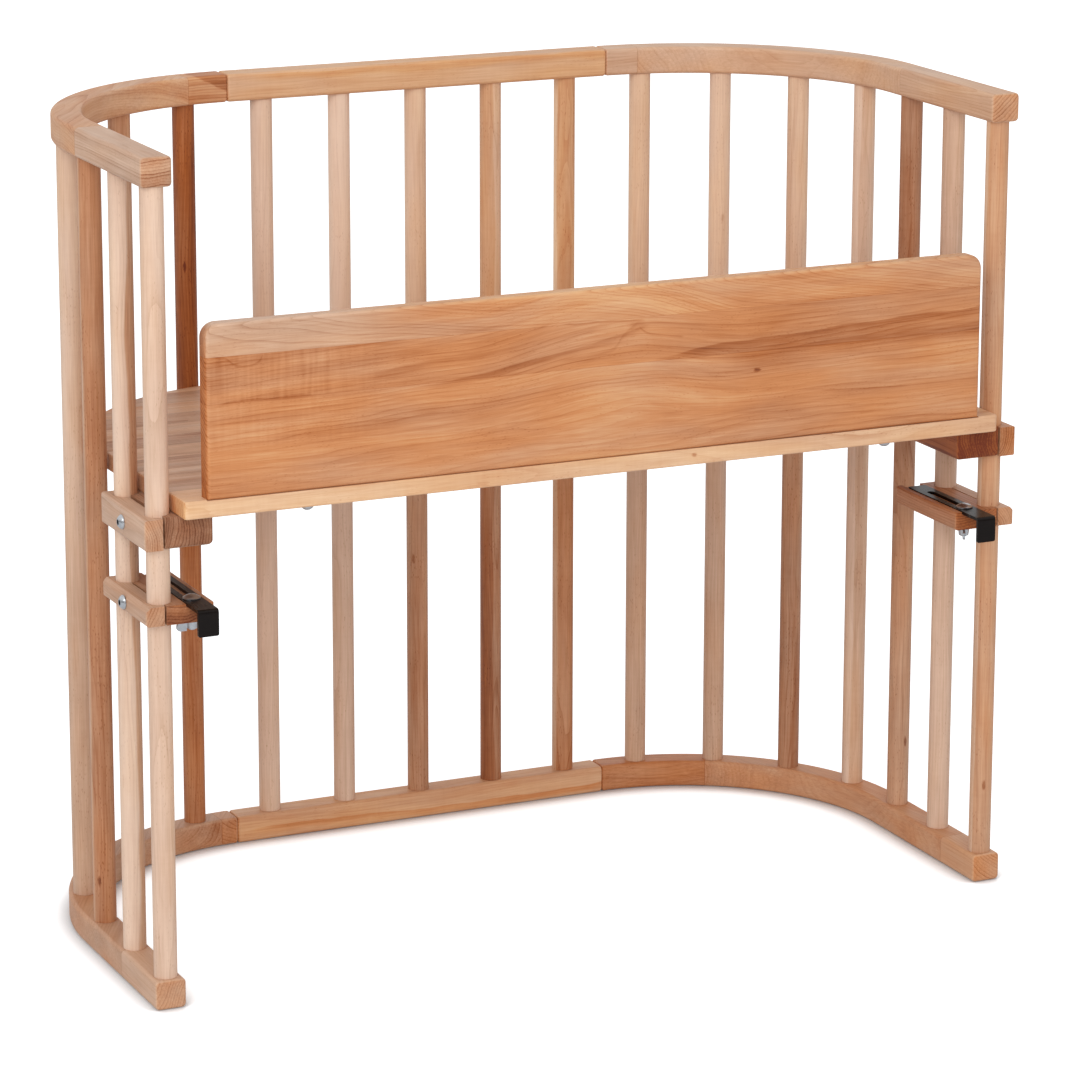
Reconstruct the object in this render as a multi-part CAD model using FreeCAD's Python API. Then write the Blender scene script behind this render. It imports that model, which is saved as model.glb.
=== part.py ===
# Bedside cot: two horseshoe hoops of rail held apart by round spindles, with a
# height-adjustable platform and two bed hooks clamped to the spindles. Millimetres.
# X runs along the long side, Y from the open front to the rounded back, Z up.
# Shapes are drawn with Y = 0 at the front end faces of the side rails. Every piece is
# then moved along Y, so that the origin is the centre of the whole cot's base.
import FreeCAD, Part
import math
import os

os.makedirs("parts", exist_ok=True)
Vec = FreeCAD.Vector
ALONG_X = Vec(1, 0, 0)
ALONG_Y = Vec(0, 1, 0)
UP = Vec(0, 0, 1)

# Hoops of rail
cot_length = 900.0
cot_depth = 450.0
cot_height = 800.0
bend_radius = 227.0
rail_width = 30.0
rail_height = 28.0
rail_round = 4.0
rail_end_round = 3.0

# Spindles
spindle_diameter = 22.0
tenon_diameter = 14.0
tenon_length = 14.0
tenon_chamfer = 1.0
back_spindles = 5
back_spindle_from_joint = 40.8
side_spindles = 7
side_spindle_from_joint = 43.7
side_spindle_from_front = 14.9

# Hardware inside the four rail joints
rail_bolt_diameter = 6.0
rail_bolt_seat = 18.0
rail_bolt_length = 45.0
hex_head_width = 10.0
hex_head_height = 4.0
rail_washer_diameter = 12.0
rail_washer_thickness = 1.6
head_pocket_length = 12.0
head_pocket_width = 14.0
pocket_above_axis = 7.0
barrel_nut_diameter = 10.0
barrel_nut_length = 14.0
barrel_nut_distance = 20.0
dowel_diameter = 6.0
dowel_length = 30.0
dowel_offset = 9.5

# Fits
glue_gap = 0.05
slide_gap = 0.3
thread_gap = 0.05
bolt_hole_gap = 0.25

# Platform panel and front board
panel_underside = 471.0
panel_thickness = 17.0
panel_edge_gap = 2.2
panel_front = -22.0
panel_round = 2.0
panel_corner_round = 4.0
board_from_panel_end = 21.8
board_height = 162.0
board_thickness = 18.0
board_sink = 1.0
board_corner_round = 14.0
board_edge_round = 4.0
board_screw_from_end = 100.0
board_screw_diameter = 5.0
board_screw_length = 52.0
board_screw_head_diameter = 12.0
board_screw_head_height = 4.0
board_screw_crown_diameter = 5.6
board_screw_socket_width = 4.0
board_screw_socket_depth = 2.0
board_dowel_from_end = 250.0
board_dowel_diameter = 8.0
board_dowel_length = 24.0

# Clamp pieces on the spindles
clamp_gap = 2.0
clamp_front = -3.5
clamp_end_margin = 6.0
bar_thickness = 17.6
bar_round = 3.0
inner_width = 46.0
platform_bar_height = 29.0
bearer_height = 30.5
bearer_round = 1.2
bearer_inner_round = 5.0
bearer_end_round = 2.0
back_clamp_margin = 16.0

# Clamp bolts with domed socket heads, and their threaded sleeves
clamp_bolt_diameter = 8.0
clamp_bolt_length = 30.0
dome_head_diameter = 14.0
dome_head_height = 4.4
dome_rim_height = 0.8
dome_crown_diameter = 7.0
socket_width = 5.0
socket_depth = 2.8
sleeve_diameter = 12.0
sleeve_length = 15.0

# Countersunk screws that hold the panel on its bearers
wood_screw_diameter = 4.0
wood_screw_length = 40.0
wood_screw_head_diameter = 9.0
wood_screw_head_height = 3.0
wood_screw_socket_width = 3.0
wood_screw_socket_depth = 1.8
wood_screw_inset = 28.0
wood_screw_from_end = 26.0

# Bed clamps
bed_clamp_bottom = 370.0
bed_clamp_height = 18.0
bed_block_round = 2.5
bed_bar_bevel = 4.5

# Bed hooks
hook_width = 20.0
hook_thickness = 3.0
hook_from_block_edge = 17.0
hook_above_block = 1.0
hook_reach = 30.5
hook_length = 139.0
hook_drop = 25.0
hook_bend_round = 3.6
hook_inner_round = 0.6
hook_corner_round = 2.0
slot_width = 7.5
slot_from_front = 37.0
slot_length = 77.0

# Carriage bolts, washers and wing nuts that lock the hooks
carriage_from_block_front = 13.5
carriage_diameter = 6.0
carriage_head_diameter = 16.5
carriage_head_height = 3.9
carriage_rim_height = 0.9
carriage_crown_diameter = 2.0
carriage_below_block = 10.0
washer_diameter = 12.0
washer_thickness = 1.6
wing_hub_diameter = 11.5
wing_hub_tip_diameter = 9.5
wing_hub_height = 7.0
wing_reach = 15.0
wing_thickness = 2.4
wing_drop = 9.0
wing_tip_round = 3.5
wing_root_gap = 11.0
right_wing_turn = 62.0

# Positions that follow from the dimensions above
line_x = cot_length / 2 - rail_width / 2
line_y = cot_depth - rail_width / 2
joint_x = line_x - bend_radius
bend_y = line_y - bend_radius
bend_length = bend_radius * math.pi / 2
low_axis = rail_height / 2
high_axis = cot_height - rail_height / 2
spindle_radius = spindle_diameter / 2
notch_radius = spindle_radius + slide_gap
back_pitch = 2 * (joint_x - back_spindle_from_joint) / (back_spindles - 1)
side_run = bend_length + bend_y - side_spindle_from_joint - side_spindle_from_front
side_pitch = side_run / (side_spindles - 1)

clamp_back = side_spindle_from_front + side_pitch + notch_radius + clamp_end_margin
clamp_bolt_y = side_spindle_from_front + side_pitch / 2
side_bar_in = line_x + clamp_gap / 2
side_bar_out = side_bar_in + bar_thickness
side_inner_out = line_x - clamp_gap / 2
side_inner_in = side_inner_out - inner_width
back_bar_in = line_y + clamp_gap / 2
back_bar_out = back_bar_in + bar_thickness
back_inner_out = line_y - clamp_gap / 2
back_inner_in = back_inner_out - inner_width

panel_side = line_x - spindle_radius - panel_edge_gap
panel_back = line_y - spindle_radius - panel_edge_gap
panel_top = panel_underside + panel_thickness
platform_clamp_bottom = panel_underside - bearer_height
platform_bolt_z = platform_clamp_bottom + platform_bar_height / 2
board_half = panel_side - board_from_panel_end
board_y = panel_front + board_thickness / 2
board_back = panel_front + board_thickness
board_bottom = panel_top - board_sink

bed_clamp_top = bed_clamp_bottom + bed_clamp_height
bed_bolt_z = bed_clamp_bottom + bed_clamp_height / 2
hook_x = side_inner_in + hook_from_block_edge
hook_top = bed_clamp_top + hook_above_block
hook_front = clamp_front - hook_reach
hook_back = hook_front + hook_length
slot_front = hook_front + slot_from_front
slot_back = slot_front + slot_length
carriage_y = clamp_front + carriage_from_block_front
carriage_bottom = bed_clamp_bottom - carriage_below_block
base_centre_y = (hook_front + back_bar_out + dome_head_height) / 2


def save(name, *solids):
    """Write one piece, or several identical fasteners, in the cot's own frame."""
    moved = [solid.translated(Vec(0, -base_centre_y, 0)) for solid in solids]
    shape = moved[0] if len(moved) == 1 else Part.makeCompound(moved)
    shape.exportStep("parts/%s.step" % name)


def mirrored(shape):
    """The same piece on the other side of the cot."""
    return shape.mirror(Vec(0, 0, 0), ALONG_X)


def block(x0, x1, y0, y1, z0, z1):
    """A rectangular block between two corners."""
    return Part.makeBox(x1 - x0, y1 - y0, z1 - z0, Vec(x0, y0, z0))


def rod(diameter, length, start, direction=UP):
    """A round rod from its start point along a direction."""
    return Part.makeCylinder(diameter / 2, length, start, direction)


def middle(edge):
    """The point half way along an edge."""
    return edge.valueAt((edge.FirstParameter + edge.LastParameter) / 2)


def rounded(shape, radius, wanted):
    """Round the edges whose middle point passes the test."""
    edges = [edge for edge in shape.Edges if wanted(middle(edge))]
    return shape.makeFillet(radius, edges)


def near(value, target):
    return abs(value - target) < 0.01


# ---------------------------------------------------------------- rails

def joint_rods(axis_z):
    """Bolt hole and the two dowel holes across one rail joint, on the right."""
    bolt_start = Vec(joint_x - rail_bolt_seat - head_pocket_length, line_y, axis_z)
    bolt_run = head_pocket_length + rail_bolt_length + rail_washer_thickness + 2
    holes = [rod(rail_bolt_diameter + 2 * bolt_hole_gap, bolt_run, bolt_start, ALONG_X)]
    for side in (-1, 1):
        start = Vec(joint_x - dowel_length / 2, line_y + side * dowel_offset, axis_z)
        holes.append(rod(dowel_diameter + 2 * glue_gap, dowel_length, start, ALONG_X))
    return holes


def head_pocket(axis_z):
    """Pocket in the underside of a centre rail, where the bolt head is reached."""
    end = joint_x - rail_bolt_seat
    half = head_pocket_width / 2
    bottom = axis_z - rail_height / 2
    return block(end - head_pocket_length, end, line_y - half, line_y + half,
                 bottom, axis_z + pocket_above_axis)


def nut_hole(axis_z):
    """Hole in the underside of a side rail for its barrel nut."""
    bottom = axis_z - rail_height / 2
    depth = rail_height / 2 + barrel_nut_length / 2
    place = Vec(joint_x + barrel_nut_distance, line_y, bottom)
    return rod(barrel_nut_diameter + 2 * glue_gap, depth, place)


def tenon_holes(spots, axis_z, upward):
    """Blind holes for the spindle tenons, a millimetre deeper than the tenons."""
    depth = tenon_length + 1
    edge = axis_z - rail_height / 2 if upward else axis_z + rail_height / 2 - depth
    return [rod(tenon_diameter + 2 * glue_gap, depth, Vec(x, y, edge)) for x, y in spots]


def centre_rail(axis_z, spots, upward):
    rail = block(-joint_x, joint_x, line_y - rail_width / 2, line_y + rail_width / 2,
                 axis_z - rail_height / 2, axis_z + rail_height / 2)
    rail = rounded(rail, rail_round, lambda p: near(p.x, 0))
    rail = rounded(rail, rail_end_round, lambda p: near(abs(p.x), joint_x))
    cuts = joint_rods(axis_z) + [head_pocket(axis_z)]
    cuts += [mirrored(cut) for cut in cuts]
    return rail.cut(cuts + tenon_holes(spots, axis_z, upward))


def side_rail(axis_z, spots, upward):
    leg = block(line_x - rail_width / 2, line_x + rail_width / 2, 0, bend_y,
                axis_z - rail_height / 2, axis_z + rail_height / 2)
    leg = rounded(leg, rail_round, lambda p: near(p.y, bend_y / 2))
    section = [face for face in leg.Faces if near(face.CenterOfMass.y, bend_y)][0]
    bend = section.revolve(Vec(joint_x, bend_y, 0), UP, 90)
    rail = leg.fuse(bend).removeSplitter()
    rail = rounded(rail, rail_end_round, lambda p: near(p.y, 0) or near(p.x, joint_x))
    cuts = joint_rods(axis_z) + [nut_hole(axis_z)]
    return rail.cut(cuts + tenon_holes(spots, axis_z, upward))


# ---------------------------------------------------------------- spindles

def side_spot(distance):
    """Point on a side rail's centre line, measured from its joint."""
    if distance < bend_length:
        angle = distance / bend_radius
        reach = bend_radius * math.sin(angle)
        return joint_x + reach, bend_y + bend_radius * math.cos(angle)
    return line_x, bend_y - (distance - bend_length)


def spindle(spot):
    """A round bar with a shouldered tenon at each end."""
    x, y = spot
    low = rail_height
    high = cot_height - rail_height
    tenon = tenon_diameter / 2
    profile = [(0, low - tenon_length), (tenon - tenon_chamfer, low - tenon_length),
               (tenon, low - tenon_length + tenon_chamfer), (tenon, low),
               (spindle_radius, low), (spindle_radius, high), (tenon, high),
               (tenon, high + tenon_length - tenon_chamfer),
               (tenon - tenon_chamfer, high + tenon_length), (0, high + tenon_length)]
    points = [Vec(x + r, y, z) for r, z in profile]
    outline = Part.makePolygon(points + [points[0]])
    return Part.Face(outline).revolve(Vec(x, y, 0), UP, 360)


back_spots = [((k - (back_spindles - 1) / 2) * back_pitch, line_y) for k in range(back_spindles)]
side_spots = [side_spot(side_spindle_from_joint + k * side_pitch) for k in range(side_spindles)]
front_spots = side_spots[-2:]
for level, axis_z, upward in (("bottom", low_axis, False), ("top", high_axis, True)):
    save("%s_rail_centre" % level, centre_rail(axis_z, back_spots, upward))
    right = side_rail(axis_z, side_spots, upward)
    save("%s_rail_right" % level, right)
    save("%s_rail_left" % level, mirrored(right))

for k, spot in enumerate(back_spots):
    save("spindle_back_%d" % (k + 1), spindle(spot))
for k, spot in enumerate(side_spots):
    save("spindle_right_%d" % (k + 1), spindle(spot))
    save("spindle_left_%d" % (k + 1), mirrored(spindle(spot)))


# ---------------------------------------------------------------- rail joint hardware

def hexagon(width, height, centre, direction):
    """A hexagonal prism of a given width across its flats."""
    corner = width / math.sqrt(3)
    points = []
    for k in range(7):
        angle = math.radians(60 * k)
        points.append(Vec(corner * math.cos(angle), corner * math.sin(angle), 0))
    prism = Part.Face(Part.makePolygon(points)).extrude(Vec(0, 0, height))
    prism.Placement = FreeCAD.Placement(centre, FreeCAD.Rotation(UP, direction))
    return prism


def rail_bolt(axis_z):
    seat = joint_x - rail_bolt_seat - rail_washer_thickness
    head = hexagon(hex_head_width, hex_head_height, Vec(seat, line_y, axis_z), ALONG_X * -1)
    shank = rod(rail_bolt_diameter, rail_bolt_length, Vec(seat, line_y, axis_z), ALONG_X)
    return head.fuse(shank).removeSplitter()


def rail_washer(axis_z):
    start = Vec(joint_x - rail_bolt_seat - rail_washer_thickness, line_y, axis_z)
    disc = rod(rail_washer_diameter, rail_washer_thickness, start, ALONG_X)
    return disc.cut(rod(rail_bolt_diameter + 2 * bolt_hole_gap, rail_washer_thickness, start, ALONG_X))


def barrel_nut(axis_z):
    x = joint_x + barrel_nut_distance
    barrel = rod(barrel_nut_diameter, barrel_nut_length,
                 Vec(x, line_y, axis_z - barrel_nut_length / 2))
    bore_start = Vec(x - barrel_nut_diameter, line_y, axis_z)
    bore = rod(rail_bolt_diameter + 2 * thread_gap, 2 * barrel_nut_diameter, bore_start, ALONG_X)
    return barrel.cut(bore)


def rail_dowel(axis_z, side):
    start = Vec(joint_x - dowel_length / 2, line_y + side * dowel_offset, axis_z)
    return rod(dowel_diameter, dowel_length, start, ALONG_X)


def at_four_joints(make):
    """One fastener at each of the four rail joints."""
    pieces = [make(low_axis), make(high_axis)]
    return pieces + [mirrored(piece) for piece in pieces]


save("rail_bolts", *at_four_joints(rail_bolt))
save("rail_washers", *at_four_joints(rail_washer))
save("rail_barrel_nuts", *at_four_joints(barrel_nut))
save("rail_dowels", *at_four_joints(lambda z: rail_dowel(z, -1)),
     *at_four_joints(lambda z: rail_dowel(z, 1)))


# ---------------------------------------------------------------- fasteners of the clamps

def dome(diameter, height, rim, flat, centre, direction):
    """A low domed head with a flat crown, whose seat lies at the centre point."""
    radius = diameter / 2
    crown = flat / 2
    sink = (radius * radius - crown * crown + rim * rim - height * height) / (2 * (height - rim))
    ball = math.hypot(radius, rim + sink)
    angle = (math.asin(radius / ball) + math.asin(crown / ball)) / 2
    shoulder = Vec(ball * math.sin(angle), 0, ball * math.cos(angle) - sink)
    outline = [Part.makeLine(Vec(0, 0, 0), Vec(radius, 0, 0)),
               Part.makeLine(Vec(radius, 0, 0), Vec(radius, 0, rim)),
               Part.Arc(Vec(radius, 0, rim), shoulder, Vec(crown, 0, height)).toShape(),
               Part.makeLine(Vec(crown, 0, height), Vec(0, 0, height)),
               Part.makeLine(Vec(0, 0, height), Vec(0, 0, 0))]
    head = Part.Face(Part.Wire(outline)).revolve(Vec(0, 0, 0), UP, 360)
    head.Placement = FreeCAD.Placement(centre, FreeCAD.Rotation(UP, direction))
    return head


def clamp_bolt(seat, inward):
    """Domed socket-head bolt whose head rests on the outside of a clamp bar."""
    outward = inward * -1
    head = dome(dome_head_diameter, dome_head_height, dome_rim_height, dome_crown_diameter,
                seat, outward)
    floor = seat + outward * (dome_head_height - socket_depth)
    socket = hexagon(socket_width, socket_depth + 1, floor, outward)
    shank = rod(clamp_bolt_diameter, clamp_bolt_length, seat, inward)
    return head.fuse(shank).removeSplitter().cut(socket)


def bar_hole(seat, inward):
    """Clearance hole for a clamp bolt, right through an outer bar."""
    return rod(clamp_bolt_diameter + 2 * bolt_hole_gap, 2 * bar_thickness, seat, inward)


def sleeve(mouth, inward):
    """Threaded sleeve set flush into an inner clamp piece."""
    body = rod(sleeve_diameter, sleeve_length, mouth, inward)
    return body.cut(rod(clamp_bolt_diameter + 2 * thread_gap, sleeve_length, mouth, inward))


def bolt_space(mouth, inward):
    """Room for a sleeve, and for the bolt tip behind it."""
    room = rod(sleeve_diameter + 2 * glue_gap, sleeve_length, mouth, inward)
    return room.fuse(rod(clamp_bolt_diameter, sleeve_length + 4, mouth, inward))


def wood_screw(x, y, gap=0.0):
    """Countersunk screw up through a bearer; with a gap it is the hole for one."""
    radius = wood_screw_diameter / 2 + gap
    head = wood_screw_head_diameter / 2 + gap
    start = Vec(x, y, platform_clamp_bottom)
    cone = Part.makeCone(head, radius, wood_screw_head_height, start)
    shank = rod(2 * radius, wood_screw_length + gap, start)
    screw = cone.fuse(shank).removeSplitter()
    if gap:
        return screw
    return screw.cut(hexagon(wood_screw_socket_width, wood_screw_socket_depth, start, UP))


def board_screw(x, gap=0.0):
    """Domed screw up through the panel into the front board."""
    start = Vec(x, board_y, panel_underside)
    shank = rod(board_screw_diameter + 2 * gap, board_screw_length + gap, start)
    if gap:
        return shank
    head = dome(board_screw_head_diameter, board_screw_head_height, dome_rim_height,
                board_screw_crown_diameter, start, UP * -1)
    floor = start - UP * (board_screw_head_height - board_screw_socket_depth)
    socket = hexagon(board_screw_socket_width, board_screw_socket_depth + 1, floor, UP * -1)
    return head.fuse(shank).removeSplitter().cut(socket)


def board_dowel(x, gap=0.0):
    """Locating dowel, half in the panel and half in the front board."""
    start = Vec(x, board_y, board_bottom - board_dowel_length / 2 - gap)
    return rod(board_dowel_diameter + 2 * gap, board_dowel_length + 2 * gap, start)


# ---------------------------------------------------------------- platform

def panel_blank():
    """Flat panel with two round back corners."""
    corner = panel_side - joint_x
    diagonal = corner / math.sqrt(2)
    turn = panel_back - corner
    outline = []
    for side in (1, -1):
        side_end = Vec(side * panel_side, turn, panel_underside)
        between = Vec(side * (joint_x + diagonal), turn + diagonal, panel_underside)
        back_end = Vec(side * joint_x, panel_back, panel_underside)
        front = Vec(side * panel_side, panel_front, panel_underside)
        outline.append(Part.makeLine(front, side_end))
        outline.append(Part.Arc(side_end, between, back_end).toShape())
    outline.append(Part.makeLine(Vec(-joint_x, panel_back, panel_underside),
                                 Vec(joint_x, panel_back, panel_underside)))
    outline.append(Part.makeLine(Vec(-panel_side, panel_front, panel_underside),
                                 Vec(panel_side, panel_front, panel_underside)))
    panel = Part.Face(Part.Wire(Part.__sortEdges__(outline))).extrude(UP * panel_thickness)
    panel = rounded(panel, panel_corner_round,
                    lambda p: near(p.y, panel_front) and near(abs(p.x), panel_side))
    return rounded(panel, panel_round,
                   lambda p: near(p.z, panel_underside) or near(p.z, panel_top))


def board_blank():
    """Upright board with rounded top corners, let a little into the panel's front edge."""
    top = board_bottom + board_height
    board = block(-board_half, board_half, panel_front, board_back, board_bottom, top)
    board = rounded(board, board_corner_round,
                    lambda p: near(abs(p.x), board_half) and near(p.z, top))
    return rounded(board, board_edge_round,
                   lambda p: near(p.y, panel_front) or near(p.y, board_back))


side_screw_spots = []
for y in (clamp_front + wood_screw_from_end, clamp_back - wood_screw_from_end):
    for side in (-1, 1):
        side_screw_spots.append((side * (side_inner_out - wood_screw_inset), y))
back_clamp_half = back_pitch + notch_radius + back_clamp_margin
back_screw_x = back_clamp_half - wood_screw_from_end
back_screw_spots = [(side * back_screw_x, back_inner_out - wood_screw_inset) for side in (-1, 1)]
screw_spots = side_screw_spots + back_screw_spots
board_screw_spots = [side * (board_half - board_screw_from_end) for side in (-1, 1)]
board_dowel_spots = [side * (board_half - board_dowel_from_end) for side in (-1, 1)]
screw_holes = [wood_screw(x, y, glue_gap) for x, y in screw_spots]
board_holes = [board_screw(x, glue_gap) for x in board_screw_spots]
board_holes += [board_dowel(x, glue_gap) for x in board_dowel_spots]

board_seat = block(-board_half - glue_gap, board_half + glue_gap, panel_front - 1,
                   board_back + glue_gap, board_bottom, panel_top + 1)

save("platform_panel", panel_blank().cut(screw_holes + board_holes + [board_seat]))
save("front_board", board_blank().cut(board_holes))
save("board_screws", *[board_screw(x) for x in board_screw_spots])
save("board_dowels", *[board_dowel(x) for x in board_dowel_spots])
save("bearer_screws", *[wood_screw(x, y) for x, y in screw_spots])


# ---------------------------------------------------------------- platform clamps

def bearer_blank(x0, x1, y0, y1, inner_edge):
    """Bearer with rounded inner corners, and a larger round on its lower inner edge."""
    z0 = platform_clamp_bottom
    middle_z = (z0 + panel_underside) / 2
    bearer = block(x0, x1, y0, y1, z0, panel_underside)
    bearer = rounded(bearer, bearer_end_round, lambda p: inner_edge(p) and near(p.z, middle_z))
    bearer = rounded(bearer, bearer_inner_round, lambda p: inner_edge(p) and near(p.z, z0))
    return rounded(bearer, bearer_round, lambda p: near(p.z, z0) and not inner_edge(p))


spindle_gap = [rod(2 * notch_radius, cot_height, Vec(x, y, 0)) for x, y in front_spots]
platform_bar_top = platform_clamp_bottom + platform_bar_height
side_seat = Vec(side_bar_out, clamp_bolt_y, platform_bolt_z)
side_mouth = Vec(side_inner_out, clamp_bolt_y, platform_bolt_z)

side_bearer = bearer_blank(side_inner_in, side_inner_out, clamp_front, clamp_back,
                           lambda p: near(p.x, side_inner_in))
side_bearer = side_bearer.cut(spindle_gap + [bolt_space(side_mouth, ALONG_X * -1)] + screw_holes)
side_bar = block(side_bar_in, side_bar_out, clamp_front, clamp_back,
                 platform_clamp_bottom, platform_bar_top)
side_bar = rounded(side_bar, bar_round, lambda p: near(p.x, side_bar_out))
side_bar = side_bar.cut(spindle_gap + [bar_hole(side_seat, ALONG_X * -1)])
save("platform_bearer_right", side_bearer)
save("platform_bearer_left", mirrored(side_bearer))
save("platform_bar_right", side_bar)
save("platform_bar_left", mirrored(side_bar))

back_gap = [rod(2 * notch_radius, cot_height, Vec(x, y, 0)) for x, y in back_spots]
back_seats = [Vec(side * back_pitch / 2, back_bar_out, platform_bolt_z) for side in (-1, 1)]
back_mouths = [Vec(side * back_pitch / 2, back_inner_out, platform_bolt_z) for side in (-1, 1)]
back_bearer = bearer_blank(-back_clamp_half, back_clamp_half, back_inner_in, back_inner_out,
                           lambda p: near(p.y, back_inner_in))
back_sleeves = [bolt_space(mouth, ALONG_Y * -1) for mouth in back_mouths]
back_bearer = back_bearer.cut(back_gap + back_sleeves + screw_holes)
back_bar = block(-back_clamp_half, back_clamp_half, back_bar_in, back_bar_out,
                 platform_clamp_bottom, platform_bar_top)
back_bar = rounded(back_bar, bar_round, lambda p: near(p.y, back_bar_out))
back_bar = back_bar.cut(back_gap + [bar_hole(seat, ALONG_Y * -1) for seat in back_seats])
save("platform_bearer_back", back_bearer)
save("platform_bar_back", back_bar)

side_bolt = clamp_bolt(side_seat, ALONG_X * -1)
side_sleeve = sleeve(side_mouth, ALONG_X * -1)
save("platform_clamp_bolts", side_bolt, mirrored(side_bolt),
     *[clamp_bolt(seat, ALONG_Y * -1) for seat in back_seats])
save("platform_sleeves", side_sleeve, mirrored(side_sleeve),
     *[sleeve(mouth, ALONG_Y * -1) for mouth in back_mouths])


# ---------------------------------------------------------------- bed clamps and hooks

def save_pair(name, shape):
    """The same piece for the right and, mirrored, for the left bed clamp."""
    save("right_%s" % name, shape)
    save("left_%s" % name, mirrored(shape))


groove_floor = hook_top - hook_thickness - slide_gap
groove_half = hook_width / 2 + slide_gap
bed_seat = Vec(side_bar_out, clamp_bolt_y, bed_bolt_z)
bed_mouth = Vec(side_inner_out, clamp_bolt_y, bed_bolt_z)

bed_block = block(side_inner_in, side_inner_out, clamp_front, clamp_back,
                  bed_clamp_bottom, bed_clamp_top)
bed_block = rounded(bed_block, bed_block_round, lambda p: near(p.x, side_inner_in))
groove = block(hook_x - groove_half, hook_x + groove_half, clamp_front - 1, clamp_back + 1,
               groove_floor, bed_clamp_top + 1)
carriage_hole = rod(carriage_diameter + 2 * bolt_hole_gap, 2 * bed_clamp_height,
                    Vec(hook_x, carriage_y, bed_clamp_bottom - 1))
bed_block = bed_block.cut(spindle_gap + [bolt_space(bed_mouth, ALONG_X * -1), groove, carriage_hole])
save_pair("bed_block", bed_block)

bed_bar = block(side_bar_in, side_bar_out, clamp_front, clamp_back,
                bed_clamp_bottom, bed_clamp_top)
bevel_edges = [edge for edge in bed_bar.Edges
               if near(middle(edge).x, side_bar_out) and near(middle(edge).z, bed_clamp_top)]
bed_bar = bed_bar.makeChamfer(bed_bar_bevel, bevel_edges)
bed_bar = rounded(bed_bar, bar_round, lambda p: near(p.x, side_bar_out))
save_pair("bed_bar", bed_bar.cut(spindle_gap + [bar_hole(bed_seat, ALONG_X * -1)]))
save_pair("bed_clamp_bolt", clamp_bolt(bed_seat, ALONG_X * -1))
save_pair("bed_sleeve", sleeve(bed_mouth, ALONG_X * -1))


def hook():
    """Steel strip bent down at the front, with a long slot in its flat web."""
    x0 = hook_x - hook_width / 2
    x1 = hook_x + hook_width / 2
    web = block(x0, x1, hook_front, hook_back, hook_top - hook_thickness, hook_top)
    drop = block(x0, x1, hook_front, hook_front + hook_thickness, hook_top - hook_drop, hook_top)
    strip = web.fuse(drop).removeSplitter()
    strip = rounded(strip, hook_bend_round,
                    lambda p: near(p.y, hook_front) and near(p.z, hook_top))
    inner_z = hook_top - hook_thickness
    inner_y = hook_front + hook_thickness
    strip = rounded(strip, hook_inner_round, lambda p: near(p.y, inner_y) and near(p.z, inner_z))
    ends = [edge for edge in strip.Edges
            if (near(middle(edge).y, hook_back) and near(edge.Length, hook_thickness))
            or (near(middle(edge).z, hook_top - hook_drop) and near(edge.Length, hook_thickness))]
    strip = strip.makeFillet(hook_corner_round, ends)
    half = slot_width / 2
    slot = block(hook_x - half, hook_x + half, slot_front + half, slot_back - half, 0, cot_height)
    for y in (slot_front + half, slot_back - half):
        slot = slot.fuse(rod(slot_width, cot_height, Vec(hook_x, y, 0)))
    return strip.cut(slot)


def carriage_bolt():
    """Round-headed bolt with a square neck that stops it turning in the slot."""
    seat = hook_top + slide_gap
    half = carriage_diameter / 2
    head = dome(carriage_head_diameter, carriage_head_height, carriage_rim_height,
                carriage_crown_diameter, Vec(hook_x, carriage_y, seat), UP)
    neck = block(hook_x - half, hook_x + half, carriage_y - half, carriage_y + half,
                 hook_top - hook_thickness, seat)
    shank = rod(carriage_diameter, seat - carriage_bottom, Vec(hook_x, carriage_y, carriage_bottom))
    return head.fuse([neck, shank]).removeSplitter()


def hook_washer():
    start = Vec(hook_x, carriage_y, bed_clamp_bottom - washer_thickness)
    disc = rod(washer_diameter, washer_thickness, start)
    return disc.cut(rod(carriage_diameter + 2 * bolt_hole_gap, washer_thickness, start))


def wing_nut():
    """Nut with two flat wings that hang below its hub."""
    top = bed_clamp_bottom - washer_thickness - slide_gap
    hub = Part.makeCone(wing_hub_tip_diameter / 2, wing_hub_diameter / 2, wing_hub_height,
                        Vec(hook_x, carriage_y, top - wing_hub_height))
    half = wing_thickness / 2
    wings = block(hook_x - wing_reach, hook_x + wing_reach, carriage_y - half, carriage_y + half,
                  top - wing_drop, top - 1)
    wings = rounded(wings, wing_tip_round, lambda p: near(abs(p.x - hook_x), wing_reach)
                    and near(p.y, carriage_y))
    root = wing_root_gap / 2
    gap = block(hook_x - root, hook_x + root, carriage_y - half, carriage_y + half,
                top - wing_drop, top - wing_hub_height + 1)
    bore = rod(carriage_diameter + 2 * thread_gap, cot_height, Vec(hook_x, carriage_y, 0))
    return hub.fuse(wings.cut(gap)).removeSplitter().cut(bore)


save_pair("hook", hook())
save_pair("hook_bolt", carriage_bolt())
save_pair("hook_washer", hook_washer())
save("left_wing_nut", mirrored(wing_nut()))
turned = wing_nut()
turned.rotate(Vec(hook_x, carriage_y, 0), UP, right_wing_turn)
save("right_wing_nut", turned)
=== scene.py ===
# %% [markdown]
# # A bedside cot in beech
# The cot is two hoops of beech rail held apart by round spindles. Two spindles at each
# open end carry wooden clamps. The upper pair, with a third clamp at the back, holds the
# mattress platform. The lower pair holds black steel hooks that reach under the mattress
# of the grown-ups' bed.
# The sizes were settled in CAD. This notebook loads that model and dresses it: some of
# its pieces are grown again with Geometry Nodes, so that their surfaces carry the
# wood's own directions, and every piece gets a wood or metal made of nodes.

# %% Load the model and keep its size
import math
import bpy
from mathutils import Euler, Matrix, Vector


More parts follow.
